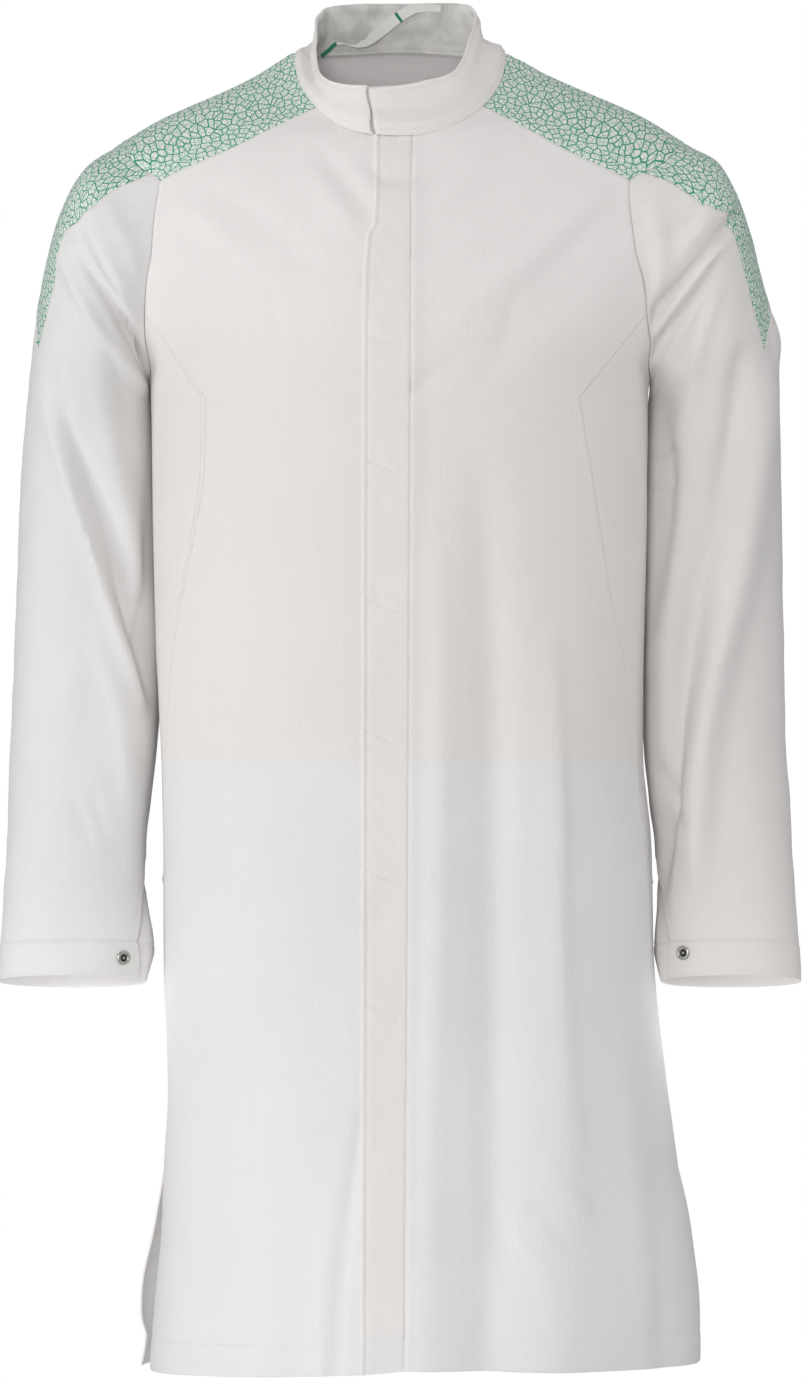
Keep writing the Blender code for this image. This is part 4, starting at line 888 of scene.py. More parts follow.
class SleeveForm:
    """The surface of one sleeve, lofted from the armhole to the cuff."""

    def __init__(self, side: Side, body: BodyForm) -> None:
        """Measure the rings along the sleeve's outer line.

        Args:
            side: which sleeve.
            body: the form that holds the armhole.
        """
        self.side = side
        self.body = body
        outer = [self.ring(k, np.array(0.0), Side.LEFT) for k in range(1 + len(CAP) + len(ARM))]
        reaches = [0.0] + [float(np.linalg.norm(b - a)) for a, b in zip(outer, outer[1:])]
        self.places = np.cumsum(reaches)

    def ring(self, number: int, angle: Array, side: Side | None = None) -> Array:
        """Points of the sleeve's ring number, outer at 0 degrees and front at 90.

        Args:
            number: the ring's number.
            angle: degrees round.
            side: the wearer's right or left, by default this sleeve's.

        Returns:
            Points in millimetres.
        """
        side = side or self.side
        if number == 0:
            return self.body.armhole(side, angle)
        turn = np.radians(angle)
        sign = np.array((side.value, 1.0, 1.0))
        if number <= len(CAP):
            outer_right, outer_left, *others = CAP[number - 1]
            outer = outer_right if side is Side.RIGHT else outer_left
            outer, front, inner, back = (np.array(point, float) * sign for point in (outer, *others))
            middle = (outer + inner) / 2
            along = np.where((np.cos(turn) > 0)[..., None], outer - middle, inner - middle)
            across = np.where((np.sin(turn) > 0)[..., None], front - middle, back - middle)
            along = along * (np.abs(np.cos(turn)) ** SLEEVE_POWER)[..., None]
            return middle + along + across * (np.abs(np.sin(turn)) ** SLEEVE_POWER)[..., None]
        z, in_right, in_left, out_right, out_left, mid, half_depth, pitch, full = ARM[number - 1 - len(CAP)]
        inner, outer = (in_right, out_right) if side is Side.RIGHT else (in_left, out_left)
        centre = (inner + outer) / 2
        power = np.where((np.cos(turn) < 0) & (np.sin(turn) > 0), 2.0 / full, SLEEVE_POWER)
        x = side.value * (centre + (outer - centre) * signed_power(np.cos(turn), power))
        y = mid - half_depth * signed_power(np.sin(turn), power)
        return np.stack([x, y, z - pitch * (y - mid)], axis=-1)

    def smooth(self, angle: Array, at: Array) -> Array:
        """Points of the sleeve without folds; `at` counts its rings from the armhole.

        Args:
            angle: degrees round.
            at: ring places.

        Returns:
            Points in millimetres.
        """
        angle, at = np.broadcast_arrays(np.asarray(angle, float), np.asarray(at, float))
        rings = np.stack([self.ring(k, angle) for k in range(len(self.places))])
        place = np.interp(at, np.arange(len(self.places)), self.places)
        return flow(self.places, rings, place)

    def outward(self, angle: Array, at: Array) -> Array:
        """Outward directions of the sleeve.

        Args:
            angle: degrees round.
            at: ring places.

        Returns:
            Unit directions.
        """
        step = 0.02
        before, after = np.maximum(at - step, 0), np.minimum(at + step, SLEEVE_END_AT)
        along = self.smooth(angle, after) - self.smooth(angle, before)
        around = self.smooth(angle + 1.0, at) - self.smooth(angle - 1.0, at)
        return unit(np.cross(around, along)) * self.side.value

    def tuck(self, angle: Array, at: Array) -> Array:
        """How far the tucked edge of the cuff slit lies below the lapping one.

        Args:
            angle: degrees round.
            at: ring places.

        Returns:
            Depths in millimetres.
        """
        over = np.interp(at, SLIT[:, 0], SLIT[:, 1]) - 360.0
        amount = np.interp(at, SLIT[:, 0], SLIT[:, 3])
        return amount * ramp(0.0, TUCK_TURN, over + TUCK_TURN + TUCK_LEAD - angle)

    def fold(self, angle: Array, z: Array, at: Array) -> Array:
        """Height of the sleeve's folds.

        Args:
            angle: degrees round.
            z: heights.
            at: ring places.

        Returns:
            Heights in millimetres.
        """
        turned = np.where(angle > -180, angle, angle + 360)
        total = np.zeros(np.shape(turned))
        for item in SLEEVE_FOLDS[self.side]:
            total += item.height(turned, z, DEGREE_OF_SLEEVE)
        total = total * ramp(0.0, 0.7, at)
        return total * (1 - ramp(8.2, 10.2, at))

    def crease(self, points: Array, outward: Array, at: Array) -> Array:
        """Height of the creases on the side that faces the front.

        Args:
            points: points of the sleeve.
            outward: its outward directions.
            at: ring places.

        Returns:
            Heights in millimetres.
        """
        total = np.zeros(points.shape[:-1])
        for item in SLEEVE_CREASES[self.side]:
            total += item.height(points[..., 0], points[..., 2])
        return total * ramp(0.0, 0.45, -outward[..., 1]) * ramp(0.02, 0.35, at) * (1 - ramp(9.4, 10.8, at))

    def point(self, angle: Array, at: Array, proud: float = 0.0) -> Array:
        """Points of the sleeve with its folds and its tucked cuff edge.

        Args:
            angle: degrees round.
            at: ring places.
            proud: lift off the form.

        Returns:
            Points in millimetres.
        """
        angle, at = np.broadcast_arrays(np.asarray(angle, float), np.asarray(at, float))
        base = self.smooth(angle, at)
        calm = ramp(0.0, 0.5, at) * (1 - ramp(9.5, 10.8, at))
        depth = self.fold(angle, base[..., 2], at) + proud - self.tuck(angle, at)
        depth = depth + calm * blended_noise(base * (1.0, 1.0, 0.7), 70.0, 11) * 0.6
        depth = depth + calm * blended_noise(base, 30.0, 12) * 0.25
        outward = self.outward(angle, at)
        return base + outward * (depth + self.crease(base, outward, at))[..., None]

    def insert_edge(self, column: int, at: Array) -> Array:
        """Angle of the insert's front (1) or back (2) edge, and of its tip below."""
        table = INSERT_EDGES[self.side]
        return np.interp(at, table[:, 0], table[:, column])

    def half_angles(self, column: int, at: Array, shares: Array) -> Array:
        """Angles of rows from the insert's edge (share 0) to the underarm seam (share 1).

        Args:
            column: 1 for the front half, 2 for the back half.
            at: ring places.
            shares: shares of the way.

        Returns:
            Angles in degrees.
        """
        edge = self.insert_edge(column, at)[:, None]
        end = np.interp(at, SLIT[:, 0], SLIT[:, column])[:, None]
        return edge + (end - edge) * shares[None, :]


# Sheets of cloth


def link(name: str, data: bpy.types.ID) -> bpy.types.Object:
    """Add an object for a mesh, lamp or camera to the scene.

    Args:
        name: the object's name.
        data: the mesh, lamp or camera.

    Returns:
        The new object.
    """
    made = bpy.data.objects.new(name, data)
    bpy.context.scene.collection.objects.link(made)
    return made


class Sheet:
    """A grid of points of one cloth panel, with its cloth coordinates."""

    def __init__(self, points: Array, outward: Vector | Sequence[float], rule: int = 0) -> None:
        """Take the grid, facing outwards.

        Args:
            points: rows by columns by xyz, in millimetres.
            outward: about the direction that the middle of the sheet faces.
            rule: the column that the cloth's length is measured on.
        """
        self.points = points
        row, column = points.shape[0] // 2, points.shape[1] // 2
        across = points[row, column] - points[row, column - 1]
        up = points[row, column] - points[row - 1, column]
        self.turned = float(np.cross(across, up) @ np.array(outward, float)) < 0
        self.cloth = self.lay_flat(points, rule)
        self.doubled = np.full(points.shape[:2], SINGLE)

    @staticmethod
    def lay_flat(points: Array, rule: int) -> Array:
        """Cloth coordinates: along each row from the rule column, and along that column, in millimetres.

        Args:
            points: the grid of points.
            rule: the column that gives the lengths down.

        Returns:
            Cloth coordinates of every point.
        """
        steps = np.linalg.norm(np.diff(points, axis=1), axis=2)
        along = np.concatenate([np.zeros((len(points), 1)), np.cumsum(steps, axis=1)], axis=1)
        along -= along[:, [rule]]
        up = run_along(points[:, rule])
        return np.stack([along, np.broadcast_to(up[:, None], along.shape)], axis=-1)

    def normals(self) -> Array:
        """Outward directions of the sheet at its points.

        Returns:
            Unit directions.
        """
        across = np.gradient(self.points, axis=1)
        up = np.gradient(self.points, axis=0)
        return unit(np.cross(across, up)) * (-1.0 if self.turned else 1.0)

    def distance_to(self, edge: Edge) -> Array:
        """Distance of every point from an edge, along the grid.

        Args:
            edge: the edge to measure from.

        Returns:
            Distances in millimetres.
        """
        axis, index = edge.value
        steps = np.linalg.norm(np.diff(self.points, axis=axis), axis=2)
        zeros = np.zeros((1, steps.shape[1])) if axis == 0 else np.zeros((steps.shape[0], 1))
        along = np.concatenate([zeros, np.cumsum(steps, axis=axis)], axis=axis)
        return along if index == 0 else np.take(along, [-1], axis=axis) - along

    def seam(self, edge: Edge, dip: float = 0.25, swell: float = 0.35) -> Array:
        """Relief of a sewn seam along an edge."""
        return seam_profile(self.distance_to(edge), dip, swell)

    def move_out(self, depth: Array) -> None:
        """Move every point along its outward direction by a depth in millimetres."""
        self.points = self.points + self.normals() * depth[..., None]

    def pull_in(self, gaps: dict[Edge, float]) -> None:
        """Move the points of edges inwards, so that neighbouring panels stay apart.

        Args:
            gaps: how far each edge moves.
        """
        drawn = self.points.copy()
        for edge, gap in gaps.items():
            axis, index = edge.value
            inner = 1 if index == 0 else -2
            border, beside = np.take(self.points, index, axis=axis), np.take(self.points, inner, axis=axis)
            shift = unit(beside - border) * gap
            if axis == 0:
                drawn[index] += shift
            else:
                drawn[:, index] += shift
        self.points = drawn

    def line(self, edge: Edge, inset: float, lift: float = 0.0) -> Line:
        """A line on the sheet at a distance from one of its edges.

        Args:
            edge: the edge.
            inset: distance from it in millimetres.
            lift: how far the line lies off the sheet.

        Returns:
            Its points and their outward directions.
        """
        axis, _ = edge.value
        away = self.distance_to(edge)
        points, normals = self.points, self.normals()
        if axis == 0:
            away, points, normals = away.T, points.transpose(1, 0, 2), normals.transpose(1, 0, 2)
        found, facing = [], []
        for row_away, row_points, row_normals in zip(away, points, normals):
            order = np.argsort(row_away)
            found.append(read_line(inset, row_away[order], row_points[order]))
            facing.append(read_line(inset, row_away[order], row_normals[order]))
        found, facing = np.array(found), unit(np.array(facing))
        return found + facing * lift, facing


def seam_profile(distance: Array, dip: float = 0.25, swell: float = 0.35, reach: float = 7.0) -> Array:
    """Relief of a sewn seam beside it: the cloth rolls into the seam and swells over its folded allowance."""
    fade = 1 - ramp(reach - 3, reach, distance)
    return -dip * bell(distance, 0.0, 0.9) + swell * ramp(0.4, 2.4, distance) * fade


def stitched_profile(distance: Array, at: float, depth: float = 0.35, width: float = 1.6) -> Array:
    """Relief of a row of stitches: a narrow valley that the thread pulls in."""
    return -depth * bell(distance, at, width)


def mesh_from_grids(name: str, sheets: Sequence[Sheet], join: float = 0.02) -> bpy.types.Object:
    """Make one smooth open mesh of sheets, with their cloth coordinates as its UV map in metres.

    Args:
        name: the object's name.
        sheets: the sheets, welded where they meet.
        join: how near points are welded, in millimetres.

    Returns:
        The object, linked to the scene.
    """
    points, faces, cloth, doubled = [], [], [], []
    for sheet in sheets:
        start = sum(len(p) for p in points)
        rows, columns = sheet.points.shape[:2]
        index = start + np.arange(rows * columns).reshape(rows, columns)
        corners = (index[:-1, :-1], index[:-1, 1:], index[1:, 1:], index[1:, :-1])
        quads = np.stack(corners, axis=-1).reshape(-1, 4)
        faces.append(quads[:, ::-1] if sheet.turned else quads)
        points.append(sheet.points.reshape(-1, 3))
        cloth.append(sheet.cloth.reshape(-1, 2))
        doubled.append(sheet.doubled.reshape(-1))
    points, faces, cloth = np.concatenate(points) * MM, np.concatenate(faces), np.concatenate(cloth) * MM
    mesh = bpy.data.meshes.new(name)
    mesh.from_pydata(points.tolist(), [], faces.tolist())
    layer = mesh.uv_layers.new(name="cloth")
    layer.data.foreach_set("uv", cloth[faces.reshape(-1)].astype(np.float32).reshape(-1))
    layers = mesh.attributes.new("doubled", "FLOAT", "POINT")
    layers.data.foreach_set("value", (np.concatenate(doubled) * MM).astype(np.float32))
    if len(sheets) > 1:
        work = bmesh.new()
        work.from_mesh(mesh)
        bmesh.ops.remove_doubles(work, verts=work.verts, dist=join * MM)
        work.to_mesh(mesh)
        work.free()
    mesh.shade_smooth()
    return link(name, mesh)


def thicken(piece: bpy.types.Object, wall: float) -> None:
    """Give an open cloth mesh its thickness, inwards, with crisp cut edges; a second finish goes inside.

    Args:
        piece: the open cloth.
        wall: its thickness in millimetres.
    """
    cloth = piece.modifiers.new("thickness", "SOLIDIFY")
    cloth.thickness = wall * MM
    cloth.offset = -1.0
    cloth.use_quality_normals = True
    cloth.material_offset = max(0, len(piece.data.materials) - 1)
    bpy.ops.object.select_all(action="DESELECT")
    piece.select_set(True)
    bpy.context.view_layer.objects.active = piece
    bpy.ops.object.modifier_apply(modifier=cloth.name)
    bpy.ops.object.shade_smooth_by_angle(angle=math.radians(48.0))
    piece.select_set(False)


# Stitches


@dataclass(frozen=True)
class Stitching:
    """How a row of stitches is sewn."""

    pitch: float = 3.0
    length: float = 2.1
    width: float = 0.5
    rise: float = 0.26


class Thread:
    """Collects stitches for one piece and makes them a mesh of small rounded bars."""

    SECTION = ((-0.5, -0.1), (-0.28, 0.75), (0.28, 0.75), (0.5, -0.1))

    def __init__(self, name: str) -> None:
        """Start with no stitches.

        Args:
            name: the name of the piece that they make.
        """
        self.name = name
        self.points: list[Array] = []
        self.faces: list[tuple[int, ...]] = []

    def bar(self, start: Array, end: Array, facing: Array, sewing: Stitching) -> None:
        """Add one stitch from a point to another, lying on cloth that faces `facing`.

        Args:
            start: where it begins.
            end: where it ends.
            facing: the cloth's outward direction.
            sewing: its length, width and rise.
        """
        along = end - start
        across = unit(np.cross(along, facing))
        stations = ((0.0, 0.2), (0.22, 1.0), (0.78, 1.0), (1.0, 0.2))
        base = sum(len(p) for p in self.points)
        rows = []
        for share, size in stations:
            middle = start + along * share
            for side, up in self.SECTION:
                wide, high = side * sewing.width * (0.55 + 0.45 * size), up * sewing.rise * size
                rows.append(middle + across * wide + facing * high)
        self.points.append(np.array(rows))
        count = len(self.SECTION)
        for k in range(len(stations) - 1):
            for i in range(count):
                a, b = base + k * count + i, base + k * count + (i + 1) % count
                self.faces.append((a, b, b + count, a + count))
        self.faces.append(tuple(base + i for i in range(count - 1, -1, -1)))
        last = base + (len(stations) - 1) * count
        self.faces.append(tuple(last + i for i in range(count)))

    def row(self, line: Line, sewing: Stitching = Stitching(), start: float = 0.0, end: float = 0.0) -> None:
        """Sew a row of stitches along a line.

        Args:
            line: points and outward directions.
            sewing: how it is sewn.
            start: length left bare at the line's beginning.
            end: length left bare at its end.
        """
        points, facing = line
        along = run_along(points)
        for k in range(int((along[-1] - start - end) / sewing.pitch)):
            first = start + (k + 0.5) * sewing.pitch - sewing.length / 2
            ends = (read_line(at, along, points) for at in (first, first + sewing.length))
            self.bar(*ends, unit(read_line(first + sewing.length / 2, along, facing)), sewing)

    def ladder(self, inner: Line, outer: Line, pitch: float, sewing: Stitching, end: float) -> None:
        """Sew a covering stitch between two lines: a bar across at every pitch, slanting to and fro.

        Args:
            inner: the line nearer to the seam.
            outer: the line further from it.
            pitch: distance from bar to bar.
            sewing: how the bars are sewn.
            end: length of the line left bare at its end.
        """
        total = run_along(inner[0])[-1]
        lines = [(run_along(points) / run_along(points)[-1], points) for points, _ in (inner, outer)]
        for k in range(int((total - end) / pitch)):
            low, high = k * pitch / total, (k + 1) * pitch / total
            sides = lines if k % 2 == 0 else lines[::-1]
            ends = (read_line(share, *line) for line, share in zip(sides, (low, high)))
            self.bar(*ends, unit(read_line(low, lines[0][0], inner[1])), sewing)

    def piece(self, material: bpy.types.Material) -> bpy.types.Object:
        """Make the stitches one object.

        Args:
            material: the thread's material.

        Returns:
            The object.
        """
        mesh = bpy.data.meshes.new(self.name)
        points = np.concatenate(self.points) * MM
        mesh.from_pydata(points.tolist(), [], self.faces)
        mesh.shade_smooth()
        mesh.materials.append(material)
        return link(self.name, mesh)


# Materials


class Wire:
    """A socket or number in a material's maths: expressions on it add Math nodes."""

    def __init__(self, bench: Bench, source: bpy.types.NodeSocket | float) -> None:
        """Wrap a socket of a bench's node tree."""
        self.bench = bench
        self.source = source

    def math(self, operation: str, *others: Wire | float) -> Wire:
        """Add a Math node on this value and the others."""
        return self.bench.wire("ShaderNodeMath", {"operation": operation}, dict(enumerate((self, *others))))

    def __add__(self, other: Wire | float) -> Wire:
        """self + other."""
        return self.math("ADD", other)

    def __rsub__(self, other: float) -> Wire:
        """other - self."""
        return Wire(self.bench, other).math("SUBTRACT", self)

    def __mul__(self, other: Wire | float) -> Wire:
        """self * other."""
        return self.math("MULTIPLY", other)

    def between(self, low: float, high: float) -> Wire:
        """Rise smoothly from 0 where the value is low to 1 where it is high."""
        inputs = {"Value": self, "From Min": low, "From Max": high}
        return self.bench.wire("ShaderNodeMapRange", {"interpolation_type": "SMOOTHSTEP"}, inputs)


class Bench:
    """Builds one material's nodes."""

    def __init__(self, name: str) -> None:
        """Start a material with its surface shader.

        Args:
            name: the material's name.
        """
        self.material = bpy.data.materials.new(name)
        self.material.use_nodes = True
        self.tree = self.material.node_tree
        self.shader = self.tree.nodes["Principled BSDF"]

    def node(self, kind: str, settings: dict | None = None, inputs: dict | None = None) -> bpy.types.Node:
        """Add a node.

        Args:
            kind: its type.
            settings: its own settings, set first.
            inputs: values or wires for its sockets, by name or number.

        Returns:
            The node.
        """
        made = self.tree.nodes.new(kind)
        for key, value in (settings or {}).items():
            setattr(made, key, value)
        for key, value in (inputs or {}).items():
            self.join(made.inputs[key], value)
        return made

    def join(self, socket: bpy.types.NodeSocket, value: Wire | float | Colour) -> None:
        """Link a wire to a socket, or set its value.

        Args:
            socket: the socket.
            value: a wire, number or colour.
        """
        source = value.source if isinstance(value, Wire) else value
        if isinstance(source, bpy.types.NodeSocket):
            self.tree.links.new(source, socket)
        else:
            socket.default_value = source

    def wire(
        self, kind: str, settings: dict | None = None, inputs: dict | None = None, output: str | int = 0
    ) -> Wire:
        """Add a node and wrap one of its outputs."""
        return Wire(self, self.node(kind, settings, inputs).outputs[output])

    def place(self) -> Wire:
        """Object coordinates in metres."""
        return self.wire("ShaderNodeTexCoord", output="Object")

    def cloth(self) -> Wire:
        """Cloth coordinates in metres."""
        return self.wire("ShaderNodeUVMap", {"uv_map": "cloth"})

    def axes(self, place: Wire) -> list[Wire]:
        """The three numbers of a place."""
        return [Wire(self, part) for part in self.node("ShaderNodeSeparateXYZ", {}, {0: place}).outputs]

    def noise(self, scale: float, detail: float, roughness: float = 0.5) -> Wire:
        """Soft noise of about 0 to 1 on object coordinates."""
        inputs = {"Vector": self.place(), "Scale": scale, "Detail": detail, "Roughness": roughness}
        return self.wire("ShaderNodeTexNoise", {}, inputs)

    def scaled(self, colour: Wire | Colour, by: Wire) -> Wire:
        """A colour times a number."""
        return self.wire("ShaderNodeVectorMath", {"operation": "SCALE"}, {0: colour, "Scale": by})

    def bump(self, height: Wire, strength: float, distance: float) -> Wire:
        """A surface normal from a height."""
        inputs = {"Height": height, "Strength": strength, "Distance": distance}
        return self.wire("ShaderNodeBump", {}, inputs)

    def mix(self, factor: Wire | float, first: Wire | Colour, second: Wire | Colour) -> Wire:
        """Mix two colours.

        Args:
            factor: the second colour's share.
            first: the first colour.
            second: the second colour.

        Returns:
            The mixed colour.
        """
        made = self.node("ShaderNodeMix", {"data_type": "RGBA"})
        self.join(made.inputs[0], factor)
        self.join(made.inputs[6], first)
        self.join(made.inputs[7], second)
        return Wire(self, made.outputs[2])

    def surface(self, values: dict[str, Wire | float | Colour]) -> bpy.types.Material:
        """Set the shader's sockets and return the material.

        Args:
            values: what each socket gets.

        Returns:
            The material.
        """
        for key, value in values.items():
            self.join(self.shader.inputs[key], value)
        return self.material


def rgb(red: float, green: float, blue: float) -> Colour:
    """A colour with full alpha."""
    return (red, green, blue, 1.0)


@dataclass(frozen=True)
class WovenCloth:
    """Plain white work cloth: fine ribbed weave with a soft sheen."""

    name: str = "white_cloth"
    colour: Colour = rgb(0.825, 0.797, 0.785)
    warm: Colour = rgb(0.792, 0.762, 0.747)
    cool: Colour = rgb(0.792, 0.782, 0.777)
    # Darker, warmer tint of doubled cloth, on the collar, the fly strip and the turned edges: painted shade.
    folded: Colour = rgb(0.81, 0.775, 0.76)
    hem: Colour = rgb(0.79, 0.777, 0.772)
    thread: float = 0.7
    rib: float = 2.9
    roughness: float = 0.86
    sheen: float = 0.12
    glow: float = 0.3
    glow_depth: float = 0.004
    # Weak mottling is the cloth's own uneven tone; strong mottling is painted blotchy shade.
    mottle_and_shade_blotches: float = 0.03

    def weave(self, bench: Bench) -> tuple[Wire, Wire]:
        """Height of the threads and a slow unevenness of the cloth.

        Args:
            bench: the material's bench.

        Returns:
            The weave's height and the unevenness, each of about 0 to 1.
        """
        cloth = bench.cloth()
        across, up, _ = bench.axes(cloth)
        turn = 2 * math.pi / (self.thread * MM)
        threads = (across * turn).math("SINE") * (up * turn).math("SINE") * 0.5 + 0.5
        ribs = (across * (2 * math.pi / (self.rib * MM))).math("SINE") * 0.5 + 0.5
        fine, long = 1 / (1.3 * MM), 1 / (26 * MM)
        stretched = bench.wire("ShaderNodeMapping", {}, {0: cloth, "Scale": (fine, long, 1.0)})
        inputs = {"Vector": stretched, "Scale": 1.0, "Detail": 2.0}
        slubs = bench.wire("ShaderNodeTexNoise", {"noise_dimensions": "2D"}, inputs)
        return threads * 0.45 + ribs * 0.34 + slubs * 0.6, bench.noise(7.0, 3.0, 0.55)

    def make(self) -> bpy.types.Material:
        """Build the material.

        Returns:
            The material.
        """
        bench = Bench(self.name)
        height, slow = self.weave(bench)
        _, _, up = bench.axes(bench.place())
        tint = bench.mix(up.between(-0.3, -0.16), self.warm, self.colour)
        tint = bench.mix(up.between(-0.592, -0.58), self.cool, tint)
        # Doubled cloth is painted darker and warmer with the folded tint, as shade; below the hem line it
        # takes the hem tint.
        fold = bench.wire("ShaderNodeAttribute", {"attribute_name": "doubled"}, {}, "Fac")
        doubled = bench.mix(up.between(-1.06, -1.03), self.hem, self.folded)
        tint = bench.mix(fold.between(-0.0004, 0.0004), tint, doubled)
        # Strong mottling uses larger blotches: painted shade of crumpled cloth, as on the collar's inner
        # face.
        if self.mottle_and_shade_blotches > 0.1:
            slow = bench.noise(62.0, 2.0)
        shade = slow.between(0.3, 0.7) * self.mottle_and_shade_blotches + height * 0.05 + (0.965 - self.mottle_and_shade_blotches)
        return bench.surface(
            {
                "Base Color": bench.scaled(tint, shade),
                "Roughness": self.roughness,
                "Specular IOR Level": 0.25,
                "Sheen Weight": self.sheen,
                "Sheen Roughness": 0.5,
                "Subsurface Weight": self.glow,
                "Subsurface Radius": (1.0, 0.97, 0.95),
                "Subsurface Scale": self.glow_depth,
                "Normal": bench.bump(height, 0.5, 0.00022),
            }
        )


def sleeve_cloth(side: Side) -> WovenCloth:
    """The white cloth as it is on a sleeve: one tint all along, warmer on the wearer's left."""
    tint = rgb(0.792, 0.762, 0.747) if side is Side.LEFT else rgb(0.792, 0.7785, 0.769)
    return WovenCloth(f"white_cloth_{side.word}", tint, tint, tint, tint)


@dataclass(frozen=True)
class PrintedCloth:
    """White cloth printed all over with an uneven net of fine green lines in two sizes."""

    name: str = "printed_cloth"
    ground: Colour = rgb(0.80, 0.80, 0.785)
    ink: Colour = rgb(0.012, 0.30, 0.155)
    pale_ink: Colour = rgb(0.12, 0.47, 0.31)
    cell: float = 6.6
    fine_cell: float = 3.7
    line: float = 0.38
    weave: WovenCloth = field(default_factory=WovenCloth)

    def net(self, bench: Bench, place: Wire, cell: float, line: float) -> Wire:
        """Lines between the cells of an uneven net.

        Args:
            bench: the material's bench.
            place: cloth coordinates in metres.
            cell: usual size of a cell in millimetres.
            line: half the width of a line in millimetres.

        Returns:
            1 on a line and 0 away from it.
        """
        settings = {"voronoi_dimensions": "2D", "feature": "DISTANCE_TO_EDGE"}
        inputs = {"Vector": place, "Scale": 1 / (cell * MM)}
        away = bench.wire("ShaderNodeTexVoronoi", settings, inputs, "Distance")
        share = line / cell
        return 1 - away.between(share * 0.7, share * 1.35)

    def make(self) -> bpy.types.Material:
        """Build the material.

        Returns:
            The material.
        """
        bench = Bench(self.name)
        height, slow = self.weave.weave(bench)
        cloth = bench.cloth()
        inputs = {0: cloth, "Location": (0.31, 0.17, 0.0), "Rotation": (0, 0, 0.6)}
        turned = bench.wire("ShaderNodeMapping", {}, inputs)
        large = self.net(bench, cloth, self.cell, self.line * 1.15)
        small = self.net(bench, turned, self.fine_cell, self.line * 0.75)
        colour = bench.mix(small * 0.8, self.ground, self.pale_ink)
        colour = bench.mix(large, colour, self.ink)
        shade = slow.between(0.25, 0.75) * 0.04 + height * 0.04 + 0.94
        return bench.surface(
            {
                "Base Color": bench.scaled(colour, shade),
                "Roughness": 0.84,
                "Specular IOR Level": 0.25,
                "Sheen Weight": 0.1,
                "Sheen Roughness": 0.5,
                "Normal": bench.bump(height, 0.45, 0.0002),
            }
        )


@dataclass(frozen=True)
class ThreadFinish:
    """Matt white sewing thread."""

    name: str = "sewing_thread"
    colour: Colour = rgb(0.88, 0.87, 0.855)

    def make(self) -> bpy.types.Material:
        """Build the material.

        Returns:
            The material.
        """
        bench = Bench(self.name)
        colour = bench.scaled(self.colour[:3], bench.noise(900.0, 1.0) * 0.12 + 0.9)
        return bench.surface({"Base Color": colour, "Roughness": 0.6, "Sheen Weight": 0.1})


@dataclass(frozen=True)
class TapeFinish:
    """Narrow herringbone tape with marks woven across it, each from a place along it to another."""

    name: str = "tape"
    colour: Colour = rgb(0.80, 0.785, 0.755)
    mark: Colour = rgb(0.01, 0.22, 0.13)
    marks: tuple[tuple[float, float], ...] = ((-0.002, 0.0185), (0.079, 0.0816))
    rib: float = 1.1

    def make(self) -> bpy.types.Material:
        """Build the material.

        Returns:
            The material.
        """
        bench = Bench(self.name)
        across, along, _ = bench.axes(bench.cloth())
        slant = along + across.math("ABSOLUTE")
        twill = (slant * (2 * math.pi / (self.rib * MM))).math("SINE") * 0.5 + 0.5
        colour = bench.mix(0.0, self.colour, self.mark)
        for start, end in self.marks:
            inside = along.between(start, start + 0.0003) * (1 - along.between(end, end + 0.0003))
            colour = bench.mix(inside, colour, self.mark)
        colour = bench.scaled(colour, twill * 0.06 + 0.94)
        bump = bench.bump(twill, 0.6, 0.00025)
        return bench.surface({"Base Color": colour, "Roughness": 0.7, "Sheen Weight": 0.2, "Normal": bump})


@dataclass(frozen=True)
class SnapMetal:
    """Nickel plate, dulled by a fine grain; a near-black copy of it is painted shade in the snap's sunk
    middle.
    """

    name: str = "nickel"
    colour: Colour = rgb(0.52, 0.51, 0.49)
    roughness: float = 0.34

    def make(self) -> bpy.types.Material:
        """Build the material.

        Returns:
            The material.
        """
        bench = Bench(self.name)
        grain = bench.noise(700.0, 3.0)
        colour = bench.scaled(self.colour[:3], grain * 0.3 + 0.78)
        rough = grain * 0.2 + (self.roughness - 0.1)
        return bench.surface({"Base Color": colour, "Roughness": rough, "Metallic": 1.0})


# The coat's sub-assemblies


